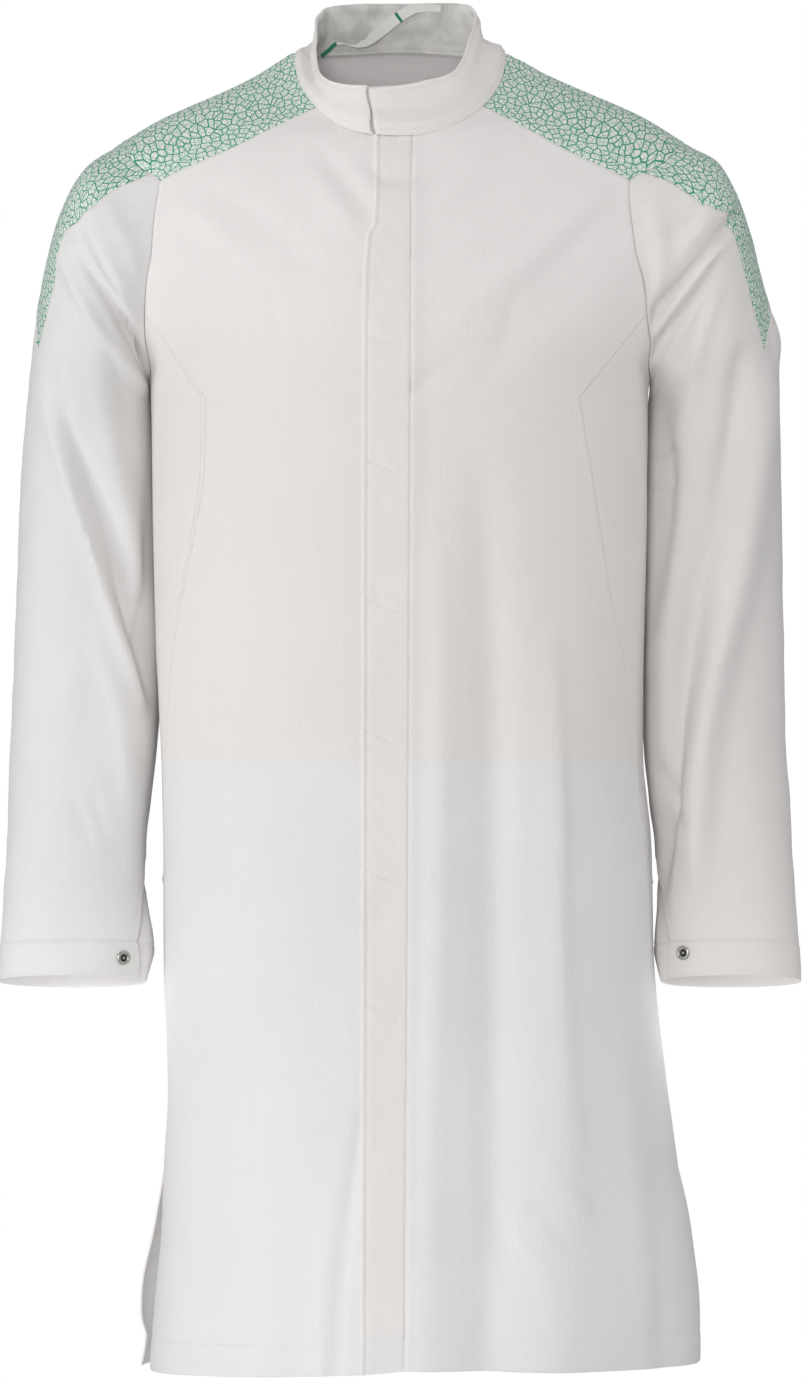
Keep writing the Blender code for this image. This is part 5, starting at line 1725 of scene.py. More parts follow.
@dataclass
class Wardrobe:
    """The finishes and forms that all sub-assemblies share."""

    body: BodyForm = field(default_factory=BodyForm)
    sleeves: dict[Side, SleeveForm] = field(init=False)
    white: dict[Side | None, bpy.types.Material] = field(init=False)
    printed: bpy.types.Material = field(init=False)
    thread: bpy.types.Material = field(init=False)
    tape: bpy.types.Material = field(init=False)
    nickel: bpy.types.Material = field(init=False)
    painted_recess_shade: bpy.types.Material = field(init=False)
    made: list[bpy.types.Object] = field(default_factory=list)

    def __post_init__(self) -> None:
        """Make the sleeve forms and the materials."""
        self.sleeves = {side: SleeveForm(side, self.body) for side in Side}
        self.white = {None: WovenCloth().make(), **{side: sleeve_cloth(side).make() for side in Side}}
        self.printed = PrintedCloth().make()
        self.thread = ThreadFinish().make()
        self.tape = TapeFinish().make()
        self.nickel = SnapMetal().make()
        # A near-black copy of the nickel: painted shade for the snap's sunk middle.
        self.painted_recess_shade = SnapMetal("nickel_painted_recess_shade", rgb(0.05, 0.05, 0.047), 0.55).make()

    def hang(
        self,
        piece: bpy.types.Object,
        material: bpy.types.Material,
        node: str | None = None,
        slot: str | None = None,
    ) -> bpy.types.Object:
        """Give a piece its finish and its place in the frame.

        Args:
            piece: the piece.
            material: its finish.
            node: the solid that it stands for.
            slot: not used.

        Returns:
            The piece.
        """
        if not piece.data.materials:
            piece.data.materials.append(material)
        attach(piece, "root")
        if node:
            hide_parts(node)
        self.made.append(piece)
        LOG.info("made %s", piece.name)
        return piece

    def cloth(
        self,
        name: str,
        sheets: Sequence[Sheet],
        flat: tuple[float, float],
        area: float | None = None,
        printed: bool = False,
        wall: float = CLOTH,
        thread: Thread | None = None,
        sleeve: Side | None = None,
        painted_shade_inside: bpy.types.Material | None = None,
    ) -> bpy.types.Object:
        """Make a cloth panel that stands for the solid of its name.

        Args:
            name: the solid's name.
            sheets: its grids.
            flat: not used.
            area: not used.
            printed: whether it is cut from the printed cloth.
            wall: its thickness in millimetres.
            thread: its stitches.
            sleeve: the sleeve that it belongs to, if any.
            painted_shade_inside: the darker finish of its inner face, painted shade, where one is given.

        Returns:
            The piece.
        """
        piece = mesh_from_grids(f"{name}_cloth", sheets)
        # The inner face takes a darker copy of the white cloth: painted shade.
        if painted_shade_inside:
            piece.data.materials.append(self.white[sleeve])
            piece.data.materials.append(painted_shade_inside)
        thicken(piece, wall)
        slot = "printed_cloth" if printed else "white_cloth"
        self.hang(piece, self.printed if printed else self.white[sleeve], name, slot)
        if thread and thread.points:
            self.hang(thread.piece(self.thread), self.thread, None, "white_cloth")
        return piece


@dataclass
class BodyPanels:
    """Fronts, side panels, back and yokes."""

    shared: Wardrobe
    hem_stitch: float = 26.0
    vent_stitch: float = 8.0
    half_width: float = 235.0
    side_width: float = 90.0
    yoke_depth: float = 150.0
    yoke_width: float = 165.0
    front_strip: float = 34.0
    side_strip: float = 55.0
    back_strip: float = 60.0

    @property
    def form(self) -> BodyForm:
        """The body's form."""
        return self.shared.body

    def seam_fade(self, points: Array) -> Array:
        """How free the cloth is: 0 on the neck, yoke and armhole seams and 1 away from them.

        Args:
            points: points of the body.

        Returns:
            Shares from 0 to 1.
        """
        angles = np.arange(-180.0, 180.0, 4.0)
        seams = [self.form.armhole(side, angles) for side in Side]
        seams += [self.form.neck(np.arange(-180.0, 180.0, 5.0))]
        for side in Side:
            for face in Face:
                seams.append(self.yoke_edge(side, face, np.linspace(0, 1, 40)))
        seams = np.concatenate(seams)
        flat = points.reshape(-1, 3)
        nearest = np.full(len(flat), 1e9)
        upper = flat[:, 2] > -330
        chosen = flat[upper]
        best = np.full(len(chosen), 1e9)
        for start in range(0, len(chosen), 4000):
            part = chosen[start : start + 4000]
            gap = np.linalg.norm(part[:, None, :] - seams[None, :, :], axis=2)
            best[start : start + 4000] = gap.min(axis=1)
        nearest[upper] = best
        return ramp(1.5, 15.0, nearest).reshape(points.shape[:-1])

    def yoke_edge(self, side: Side, face: Face, shares: Array) -> Array:
        """Points of the yoke's front or back edge from the neck (0) to the armhole (1).

        Args:
            side: the wearer's right or left.
            face: front or back.
            shares: shares of the edge.

        Returns:
            Points in millimetres.
        """
        neck_angle = YOKE_NECK_FRONT if face is Face.FRONT else YOKE_NECK_BACK
        bow = YOKE_FRONT_BOW if face is Face.FRONT else YOKE_BACK_BOW
        start = self.form.neck(side.value * neck_angle)
        end = self.form.armhole(side, YOKE_AT if face is Face.FRONT else -YOKE_AT)
        x = start[0] + (end[0] - start[0]) * shares
        y = start[1] + (end[1] - start[1]) * shares + face.value * bow * np.sin(math.pi * shares)
        return np.stack([x, y, self.form.height_over(x, y)], axis=-1)

    def top_line(self, side: Side, face: Face, first_angle: float, shares: Array) -> Array:
        """Top edge of a front or half back: the neck seam, then the yoke seam.

        Args:
            side: the wearer's right or left.
            face: front or back.
            first_angle: where the neck seam begins.
            shares: shares of the edge.

        Returns:
            Points in millimetres.
        """
        columns = shares * (NECK_COLUMNS + YOKE_COLUMNS)
        last = YOKE_NECK_FRONT if face is Face.FRONT else YOKE_NECK_BACK
        along_neck = np.clip(columns / NECK_COLUMNS, 0, 1)
        neck = self.form.neck(side.value * (first_angle + (last - first_angle) * along_neck))
        yoke = self.yoke_edge(side, face, np.clip((columns - NECK_COLUMNS) / YOKE_COLUMNS, 0, 1))
        return np.where((columns < NECK_COLUMNS)[:, None], neck, yoke)

    def front_edge(self, side: Side, place: Array) -> tuple[Array, Array]:
        """Turn and height of a front's side end, by row number: side seam, panel seam, armhole.

        Args:
            side: the wearer's right or left.
            place: row numbers.

        Returns:
            Turns and heights.
        """
        heights = np.array(SKIRT_SIDE_Z + BODICE_SIDE_Z, float)
        z = np.interp(place, np.arange(len(heights)), heights)
        z = z + HEM_RISE[side] * ramp(HEM_RISE_FROM, SKIRT_SIDE_Z[0], z)
        seam_turn = self.form.turn_at(self.form.seam_x(side, z), z)
        low_z, high_z = SIDE_SEAM[0, 0], SIDE_SEAM[-1, 0]
        low = self.form.turn_at(self.form.seam_x(side, low_z), low_z)
        wedge = side.value * 90.0 + (low - side.value * 90.0) * np.clip(place - (WEDGE_ROW - 1), 0, 1)
        turn = np.where(place <= WEDGE_ROW, wedge, seam_turn)
        steps = ARM_ROW + np.arange(len(FRONT_ARM_STEPS))
        arm = self.form.armhole(side, np.interp(place, steps, FRONT_ARM_STEPS))
        seam_end = np.array((self.form.seam_x(side, high_z), high_z))
        corner = self.form.armhole(side, FRONT_ARM_STEPS[0])[[0, 2]]
        slant = seam_end + (corner - seam_end) * np.clip(place - CORNER_ROW, 0, 1)[:, None]
        x = np.where(place > ARM_ROW, arm[:, 0], slant[:, 0])
        high_z = np.where(place > ARM_ROW, arm[:, 2], slant[:, 1])
        upper = place > CORNER_ROW
        return np.where(upper, self.form.turn_at(x, high_z), turn), np.where(upper, high_z, z)

    def back_edge(self, side: Side, place: Array) -> tuple[Array, Array]:
        """Turn and height of a half back's side end, by row number.

        Args:
            side: the wearer's right or left.
            place: row numbers.

        Returns:
            Turns and heights.
        """
        heights = np.array(SKIRT_SIDE_Z + BACK_SIDE_Z, float)
        z = np.interp(place, np.arange(len(heights)), heights)
        z = z + HEM_RISE[side] * ramp(HEM_RISE_FROM, SKIRT_SIDE_Z[0], z)
        steps = ARM_ROW + np.arange(len(BACK_ARM_STEPS))
        arm = self.form.armhole(side, -np.interp(place, steps, BACK_ARM_STEPS))
        turn = np.where(place > ARM_ROW, self.form.turn_at(arm[:, 0], arm[:, 2]), side.value * 90.0)
        return turn, np.where(place > ARM_ROW, arm[:, 2], z)

    def panel(
        self,
        side: Side,
        face: Face,
        rows: Array,
        strips: Array,
        shares: Array,
        under: Array,
        begin: float | None,
    ) -> Array:
        """Points of a front or half back.

        Args:
            side: the wearer's right or left.
            face: front or back.
            rows: row numbers of the rows below the top strip.
            strips: shares of the top strip, from its lowest row to the top edge.
            shares: shares across the panel, from its middle edge to its side edge.
            under: shares of the fly strip for the columns that run under it.
            begin: where on the fly strip the panel begins, or None at the middle of the back.

        Returns:
            Rows by columns by xyz.
        """
        form = self.form
        front = face is Face.FRONT
        first_angle = 180.0
        if begin is not None:
            first_angle = side.value * float(form.neck_angle_at(form.strip_x(PLACKET_TOP, begin)))
        top = self.top_line(side, face, first_angle, shares)
        if len(under):
            top = np.concatenate([form.neck(form.neck_angle_at(form.strip_x(PLACKET_TOP, under))), top])
        lead = 2 if begin == 1.0 else 0
        spread = NECK_COLUMNS + YOKE_COLUMNS
        counts = np.concatenate([under * lead, lead + shares * spread]) / (lead + spread)
        main = slice(len(under), None)
        top_share = (top[main, 0] - top[len(under), 0]) / (top[-1, 0] - top[len(under), 0])
        lean = top[:, 2] - (top[0, 2] + (top[-1, 2] - top[0, 2]) * counts)

        centre_table = list(SKIRT_CENTRE_Z)
        if front:
            centre_table += [*BODICE_CENTRE_Z, *FRONT_ARM_CENTRE_Z]
            turn_end, z_end = self.front_edge(side, rows)
        else:
            centre_table = [z + BACK_HEM_DROP * float(ramp(-925.0, -1074.0, z)) for z in centre_table]
            centre_table += [*BACK_CENTRE_Z, *BACK_ARM_CENTRE_Z]
            turn_end, z_end = self.back_edge(side, rows)
        centre_z = np.interp(rows, np.arange(len(centre_table)), np.array(centre_table, float))
        bend = ramp(*ROW_BEND, centre_z)[:, None]
        z = centre_z[:, None] + (z_end - centre_z)[:, None] * counts[None, :] + bend * lean[None, :]
        z[:, -1] = z_end
        end_x = form.point(face, turn_end, z_end)[:, 0]
        start_x = np.zeros(z[:, main].shape) if begin is None else form.strip_x(z[:, main], begin)
        first = form.turn_at(start_x, z[:, main])
        even = first + (turn_end[:, None] - first) * shares[None, :]
        level = form.turn_at(start_x + (end_x[:, None] - start_x) * top_share[None, :], z[:, main])
        turn = even + (level - even) * bend
        turn[:, -1] = turn_end
        if len(under):
            strip_z = z[:, : len(under)]
            strip_turn = form.turn_at(form.strip_x(strip_z, under[None, :]), strip_z)
            turn = np.concatenate([strip_turn, turn], axis=1)
        points = form.point(face, turn, z) + form.vent_shift(face, turn, z)

        low = points[-1]
        steps = strips[1:, None, None]
        flat = low[None] * (1 - steps) + top[None] * steps
        arm_angle = FRONT_ARM_STEPS[-2] + (YOKE_AT - FRONT_ARM_STEPS[-2]) * strips[1:]
        arm = form.armhole(side, arm_angle if front else -arm_angle)
        weight = counts[None, :, None] ** 6
        flat = flat + (arm[:, None, :] - flat[:, -1:, :]) * weight
        turns = form.turn_at(flat[..., 0], flat[..., 2])
        upper = form.point(face, turns, flat[..., 2])
        upper[:, -1] = arm
        upper[-1] = top
        return np.concatenate([points, upper])

    def rows_of(self, lengths: Sequence[float], spacing: float = SPACING) -> Array:
        """Row numbers with about even spacing, and fine ones at the hem.

        Args:
            lengths: distances between the table's rows.
            spacing: distance between new rows.

        Returns:
            Row numbers.
        """
        numbers = [np.array([0.0])]
        for k, length in enumerate(lengths):
            count = max(1, round(abs(length) / spacing))
            numbers.append(k + np.linspace(0, 1, count + 1)[1:])
        found = np.concatenate(numbers)
        hem = np.array([0.04, 0.1, 0.2])
        return np.unique(np.round(np.concatenate([found, hem]), 5))

    def strips_of(self, length: float) -> Array:
        """Shares of the top strip, finer towards the seam.

        Args:
            length: the strip's height.

        Returns:
            Shares from 0 to 1.
        """
        near = np.array((0.0, 0.8, 2.0, 3.6, 5.6)) / length
        even = np.linspace(0, 1 - 8.0 / length, max(2, round(length / SPACING)))
        return np.unique(np.round(np.concatenate([even, 1 - near]), 6))

    def hem_relief(self, sheet: Sheet, edge: Edge) -> Array:
        """Relief of the turned and stitched hem.

        Args:
            sheet: the panel.
            edge: its hem.

        Returns:
            Heights in millimetres.
        """
        away = sheet.distance_to(edge)
        fold = 0.55 * (1 - ramp(self.hem_stitch - 1.5, self.hem_stitch + 1.5, away))
        pucker = blended_noise(sheet.points * (1.0, 1.0, 0.2), 17.0, 21) * 0.35
        pucker = pucker * bell(away, self.hem_stitch, 14)
        wave = blended_noise(sheet.points * (1.0, 1.0, 0.0), 95.0, 23) * 1.6 * (1 - ramp(0, 90, away))
        sewn = stitched_profile(away, self.hem_stitch, 0.6, 1.4)
        return fold + sewn + pucker + wave - 0.5 * bell(away, 0.0, 1.0)

    def vent_relief(self, away: Array) -> Array:
        """Relief of a vent's turned and stitched edge."""
        return 0.45 * (1 - ramp(9, 11, away)) + stitched_profile(away, self.vent_stitch)

    def build_front(self, side: Side) -> None:
        """Make a front with its hem, vent, edge and panel-seam stitching.

        Args:
            side: the wearer's right or left.
        """
        form = self.form
        right = side is Side.RIGHT
        under = np.array((0.0, 0.25, 0.5, 0.75)) if right else np.array(())
        shares = fine_steps(self.half_width, SPACING, NEAR_SEAM, keep=(NECK_SHARE,))
        heights = np.array(SKIRT_CENTRE_Z + BODICE_CENTRE_Z + FRONT_ARM_CENTRE_Z)
        rows = self.rows_of(np.diff(heights))
        strips = self.strips_of(self.front_strip)
        points = self.panel(side, Face.FRONT, rows, strips, shares, under, 1.0 if right else 0.0)
        points = form.folded(points, self.seam_fade(points))
        sheet = Sheet(points, (0, -1, 0), rule=len(under))
        last = sheet.distance_to(Edge.LAST_COLUMN)
        place = np.concatenate([rows, len(heights) - 1 + strips[1:]])[:, None]
        sewn = ramp(VENT_ROW, VENT_ROW + 0.4, place)
        vent = 1 - sewn
        relief = seam_profile(last) * sewn + vent * self.vent_relief(last)
        relief += self.hem_relief(sheet, Edge.FIRST_ROW)
        relief += sheet.seam(Edge.LAST_ROW, 0.2, 0.4)
        panel_seam = ramp(WEDGE_ROW, WEDGE_ROW + 0.6, place) * (1 - ramp(15.9, 16.1, place))
        relief += panel_seam * 0.4 * bell(last, 3.7, 2.2)
        if not right:
            first = sheet.distance_to(Edge.FIRST_COLUMN)
            relief += (GAP + CLOTH) * (1 - ramp(1.0, 15.0, first)) * ramp(20.0, 19.0, place)
            relief += 0.35 * bell(first, 3.4, 1.8) - 0.35 * bell(first, 0.0, 1.1)
        hem = self.hem_stitch - sheet.distance_to(Edge.FIRST_ROW)
        sheet.doubled = np.maximum(hem, np.where(vent > 0.5, self.vent_stitch + 1.0 - last, SINGLE))
        sheet.move_out(relief)
        sheet.pull_in({Edge.LAST_COLUMN: SEAM_PULL, Edge.LAST_ROW: SEAM_PULL})

        thread = Thread(f"front_{side.word}_stitches")
        thread.row(sheet.line(Edge.FIRST_ROW, self.hem_stitch, 0.1), end=6.0)
        full = sheet.line(Edge.LAST_COLUMN, self.vent_stitch, 0.1)
        up = int(np.searchsorted(place[:, 0], VENT_ROW))
        thread.row((full[0][:up], full[1][:up]), start=4.0)
        inner, outer = sheet.line(Edge.LAST_COLUMN, 1.8, 0.15), sheet.line(Edge.LAST_COLUMN, 5.6, 0.15)
        start, stop = (int(np.searchsorted(place[:, 0], value)) for value in (9.3, 16.0))
        lines = [(line[0][start:stop], line[1][start:stop]) for line in (inner, outer)]
        cover = Stitching(pitch=2.4, length=2.0, width=0.78, rise=0.46)
        thread.ladder(*lines, 2.4, cover, 2.0)
        thread.row(lines[1], Stitching(pitch=2.4, length=1.9, width=0.5, rise=0.35))
        area = 0.25 if right else 0.24
        self.shared.cloth(f"front_{side.word}", [sheet], flat=(0.29, 1.08), area=area, thread=thread)

    def build_side(self, side: Side) -> None:
        """Make the side panel, a wedge from the side seam to the bottom of the armhole.

        Args:
            side: the wearer's right or left.
        """
        form = self.form
        low, high = np.linspace(8.02, WEDGE_ROW, 14), np.linspace(WEDGE_ROW, CORNER_ROW, 76)
        rows = np.unique(np.round(np.concatenate([low, high]), 5))
        shares = fine_steps(self.side_width, SPACING, NEAR_SEAM)
        first, z_first = self.front_edge(side, rows)
        z_back = np.interp(rows, np.arange(8, ARM_ROW), (*SKIRT_SIDE_Z[8:], *BACK_SIDE_Z[:-1]))
        turn = first[:, None] + (side.value * 90.0 - first)[:, None] * shares
        z = z_first[:, None] + (z_back - z_first)[:, None] * shares
        arm = form.armhole(side, FRONT_ARM_STEPS[0] + (180.0 - FRONT_ARM_STEPS[0]) * shares)
        arm_turn, arm_z = form.turn_at(arm[:, 0], arm[:, 2]), arm[:, 2]
        strips = self.strips_of(self.side_strip)[1:]
        edge_turn, edge_z = self.front_edge(side, CORNER_ROW + strips)
        blend = strips[:, None]
        high_turn = turn[-1] * (1 - blend) + arm_turn * blend
        high_z = z[-1] * (1 - blend) + arm_z * blend
        weight = (1 - shares) ** 3
        high_turn = high_turn + (edge_turn[:, None] - high_turn[:, :1]) * weight
        high_z = high_z + (edge_z[:, None] - high_z[:, :1]) * weight
        turn, z = np.concatenate([turn, high_turn]), np.concatenate([z, high_z])
        points = form.point(Face.FRONT, turn, z)
        points[-1] = arm
        points = form.folded(points, self.seam_fade(points))
        sheet = Sheet(points, (side.value, 0, 0))
        relief = sheet.seam(Edge.FIRST_COLUMN, 0.5, 0.0)
        relief += sheet.seam(Edge.LAST_COLUMN) + sheet.seam(Edge.LAST_ROW)
        sheet.move_out(relief * ramp(8.3, 9.5, np.concatenate([rows, CORNER_ROW + strips]))[:, None])
        sheet.pull_in({edge: SEAM_PULL for edge in Edge})
        area = 0.036 if side is Side.LEFT else 0.031
        self.shared.cloth(f"side_{side.word}", [sheet], flat=(0.13, 0.47), area=area)

    def build_back(self) -> None:
        """Make the whole back, side to side."""
        form = self.form
        shares = fine_steps(self.half_width, SPACING, NEAR_SEAM, keep=(NECK_SHARE,))
        shares = shares[(shares == 0) | (shares > 4.0 / self.half_width)]
        heights = np.array(SKIRT_CENTRE_Z + BACK_CENTRE_Z + BACK_ARM_CENTRE_Z)
        rows = self.rows_of(np.diff(heights))
        strips = self.strips_of(self.back_strip)
        halves = [self.panel(side, Face.BACK, rows, strips, shares, np.array(()), None) for side in Side]
        points = np.concatenate([halves[0][:, :0:-1], halves[1]], axis=1)
        points = form.folded(points, self.seam_fade(points))
        sheet = Sheet(points, (0, 1, 0), rule=points.shape[1] // 2)
        place = np.concatenate([rows, len(heights) - 1 + strips[1:]])[:, None]
        sewn = ramp(VENT_ROW, VENT_ROW + 0.4, place)
        relief = self.hem_relief(sheet, Edge.FIRST_ROW) + sheet.seam(Edge.LAST_ROW, 0.2, 0.4)
        sheet.doubled = self.hem_stitch - sheet.distance_to(Edge.FIRST_ROW)
        for edge in (Edge.FIRST_COLUMN, Edge.LAST_COLUMN):
            away = sheet.distance_to(edge)
            relief += seam_profile(away) * sewn + (1 - sewn) * self.vent_relief(away)
            turned = np.where(sewn < 0.5, self.vent_stitch + 1.0 - away, SINGLE)
            sheet.doubled = np.maximum(sheet.doubled, turned)
        sheet.move_out(relief)
        sheet.pull_in({Edge.FIRST_COLUMN: SEAM_PULL, Edge.LAST_COLUMN: SEAM_PULL, Edge.LAST_ROW: SEAM_PULL})
        thread = Thread("back_stitches")
        thread.row(sheet.line(Edge.FIRST_ROW, self.hem_stitch, 0.1), start=6.0, end=6.0)
        up = int(np.searchsorted(place[:, 0], VENT_ROW))
        for edge in (Edge.FIRST_COLUMN, Edge.LAST_COLUMN):
            full = sheet.line(edge, self.vent_stitch, 0.1)
            thread.row((full[0][:up], full[1][:up]), start=4.0)
        thread.row(sheet.line(Edge.LAST_ROW, 2.2, 0.1), start=4.0, end=4.0)
        self.shared.cloth("back", [sheet], flat=(0.6, 1.15), area=0.53, thread=thread)

    def build_yoke(self, side: Side) -> None:
        """Make a shoulder yoke of printed cloth, from its front edge over the shoulder to its back edge.

        Args:
            side: the wearer's right or left.
        """
        form = self.form
        across = fine_steps(self.yoke_depth, SPACING, NEAR_SEAM)
        along = fine_steps(self.yoke_width, SPACING, NEAR_SEAM)
        angles = np.interp(across * 6, np.arange(7), YOKE_ARM_STEPS)
        arm = form.armhole(side, angles)
        neck = form.neck(side.value * (YOKE_NECK_FRONT + (YOKE_NECK_BACK - YOKE_NECK_FRONT) * across))
        front, back = (self.yoke_edge(side, face, along) for face in Face)
        a, l = across[:, None, None], along[None, :, None]
        points = neck[:, None] * (1 - l) + arm[:, None] * l + front[None] * (1 - a) + back[None] * a
        points = points - (front[0] * (1 - l) + front[-1] * l) * (1 - a)
        points = points - (back[0] * (1 - l) + back[-1] * l) * a
        inside = points[1:-1, 1:-1]
        inside[..., 2] = form.height_over(inside[..., 0], inside[..., 1])
        sheet = Sheet(points, (0, 0, 1))
        relief = blended_noise(points, 60.0, 31) * 0.35 * self.seam_fade(points)
        for edge in Edge:
            relief += sheet.seam(edge, 0.2, 0.35)
        sheet.move_out(relief)
        sheet.pull_in({edge: SMALL_PULL for edge in Edge})
        thread = Thread(f"yoke_{side.word}_stitches")
        thread.row(sheet.line(Edge.FIRST_ROW, 2.4, 0.1), start=3.0, end=3.0)
        thread.row(sheet.line(Edge.LAST_ROW, 2.4, 0.1), start=3.0, end=3.0)
        name = f"yoke_{side.word}"
        self.shared.cloth(name, [sheet], flat=(0.19, 0.17), area=0.026, printed=True, thread=thread)


@dataclass
class Placket:
    """The fly strip over the front closing."""

    shared: Wardrobe
    panels: BodyPanels
    width: float = 38.0
    edge_stitch: float = 4.2
    tack_heights: tuple[float, ...] = (-247.0, -349.0, -460.0, -567.0, -679.0, -786.0)
    tack_rise: float = 11.0

    def build(self) -> None:
        """Make the strip on the right front's own points, moved out."""
        form = self.shared.body
        heights = np.array(SKIRT_CENTRE_Z + BODICE_CENTRE_Z + FRONT_ARM_CENTRE_Z)
        rows = self.panels.rows_of(np.diff(heights), 2.2)
        strips = self.panels.strips_of(self.panels.front_strip)
        under = fine_steps(self.width, 2.4, (0.0, 0.7, 1.5, 2.6, 3.6, 4.6, 5.8))
        both = self.panels.panel(Side.RIGHT, Face.FRONT, rows, strips, np.array((0.0, 0.5, 1.0)), under, 1.0)
        base = both[:, : len(under)]
        points = form.folded(base, self.panels.seam_fade(base)) + form.outward(base) * (GAP + CLOTH)
        below = points[-6]
        points[-1] += unit(below - points[-1]) * PLACKET_TOP_DROP
        for k in range(2, 6):
            share = (6 - k) / 5 * 0.8
            points[-k] += unit(below - points[-k]) * (PLACKET_TOP_DROP * share)
        sheet = Sheet(points, (0, -1, 0))
        free = sheet.distance_to(Edge.LAST_COLUMN)
        sewn = sheet.distance_to(Edge.FIRST_COLUMN)
        relief = -0.35 * bell(sewn, 0.0, 1.1) + stitched_profile(free, self.edge_stitch, 0.55, 1.3)
        relief += 0.5 * bell(free, 1.8, 1.5) - 0.2 * bell(free, 0.0, 0.6)
        relief += 0.55 * blended_noise(points * (0.5, 0.5, 1.0), 42.0, 41) * bell(free, 12, 13)
        slant = points @ np.array((0.75, 0.0, 0.66))
        relief += 0.22 * np.sin(slant / 2.7 + 1.6 * blended_noise(points, 60.0, 42)) * bell(free, 14, 10)
        sheet.doubled = np.full(relief.shape, DOUBLED)
        z = points[..., 2]
        for height in self.tack_heights:
            gap = z - (height + self.tack_rise * 0.5 - self.tack_rise * (free - 4.0) / 26.0)
            on_line = ramp(2.0, 6.0, free) * (1 - ramp(28.0, 33.0, free))
            relief += -1.0 * bell(gap, 0.0, 1.3) * on_line
            relief += 0.5 * bell(gap, 5, 4) * on_line
        sheet.move_out(relief)
        thread = Thread("placket_stitches")
        thread.row(sheet.line(Edge.LAST_COLUMN, self.edge_stitch, 0.12), start=3.0, end=4.0)
        raised = Stitching(3.0, 2.0, 0.6, 0.4)
        thread.row(sheet.line(Edge.FIRST_COLUMN, 1.6, 0.12), raised, start=3.0, end=4.0)
        thread.row(sheet.line(Edge.FIRST_ROW, self.panels.hem_stitch, 0.12), start=1.0, end=1.0)
        self.sew_tacks(sheet, thread)
        self.shared.cloth("placket", [sheet], flat=(0.04, 1.01), thread=thread)

    def sew_tacks(self, sheet: Sheet, thread: Thread) -> None:
        """Sew the slanting tacks that hold the strip over each fastening.

        Args:
            sheet: the strip.
            thread: the thread they are sewn with.
        """
        lines = [sheet.line(Edge.LAST_COLUMN, inset, 0.12) for inset in (4.5, 12.0, 20.0, 29.0)]
        for height in self.tack_heights:
            points, facing = [], []
            for k, (line, normals) in enumerate(lines):
                z = height + self.tack_rise * (0.5 - k / 3)
                order = np.argsort(line[:, 2])
                points.append(read_line(z, line[order, 2], line[order]))
                facing.append(read_line(z, line[order, 2], normals[order]))
            thread.row((np.array(points), unit(np.array(facing))), Stitching(2.6, 2.0, 0.5, 0.3))


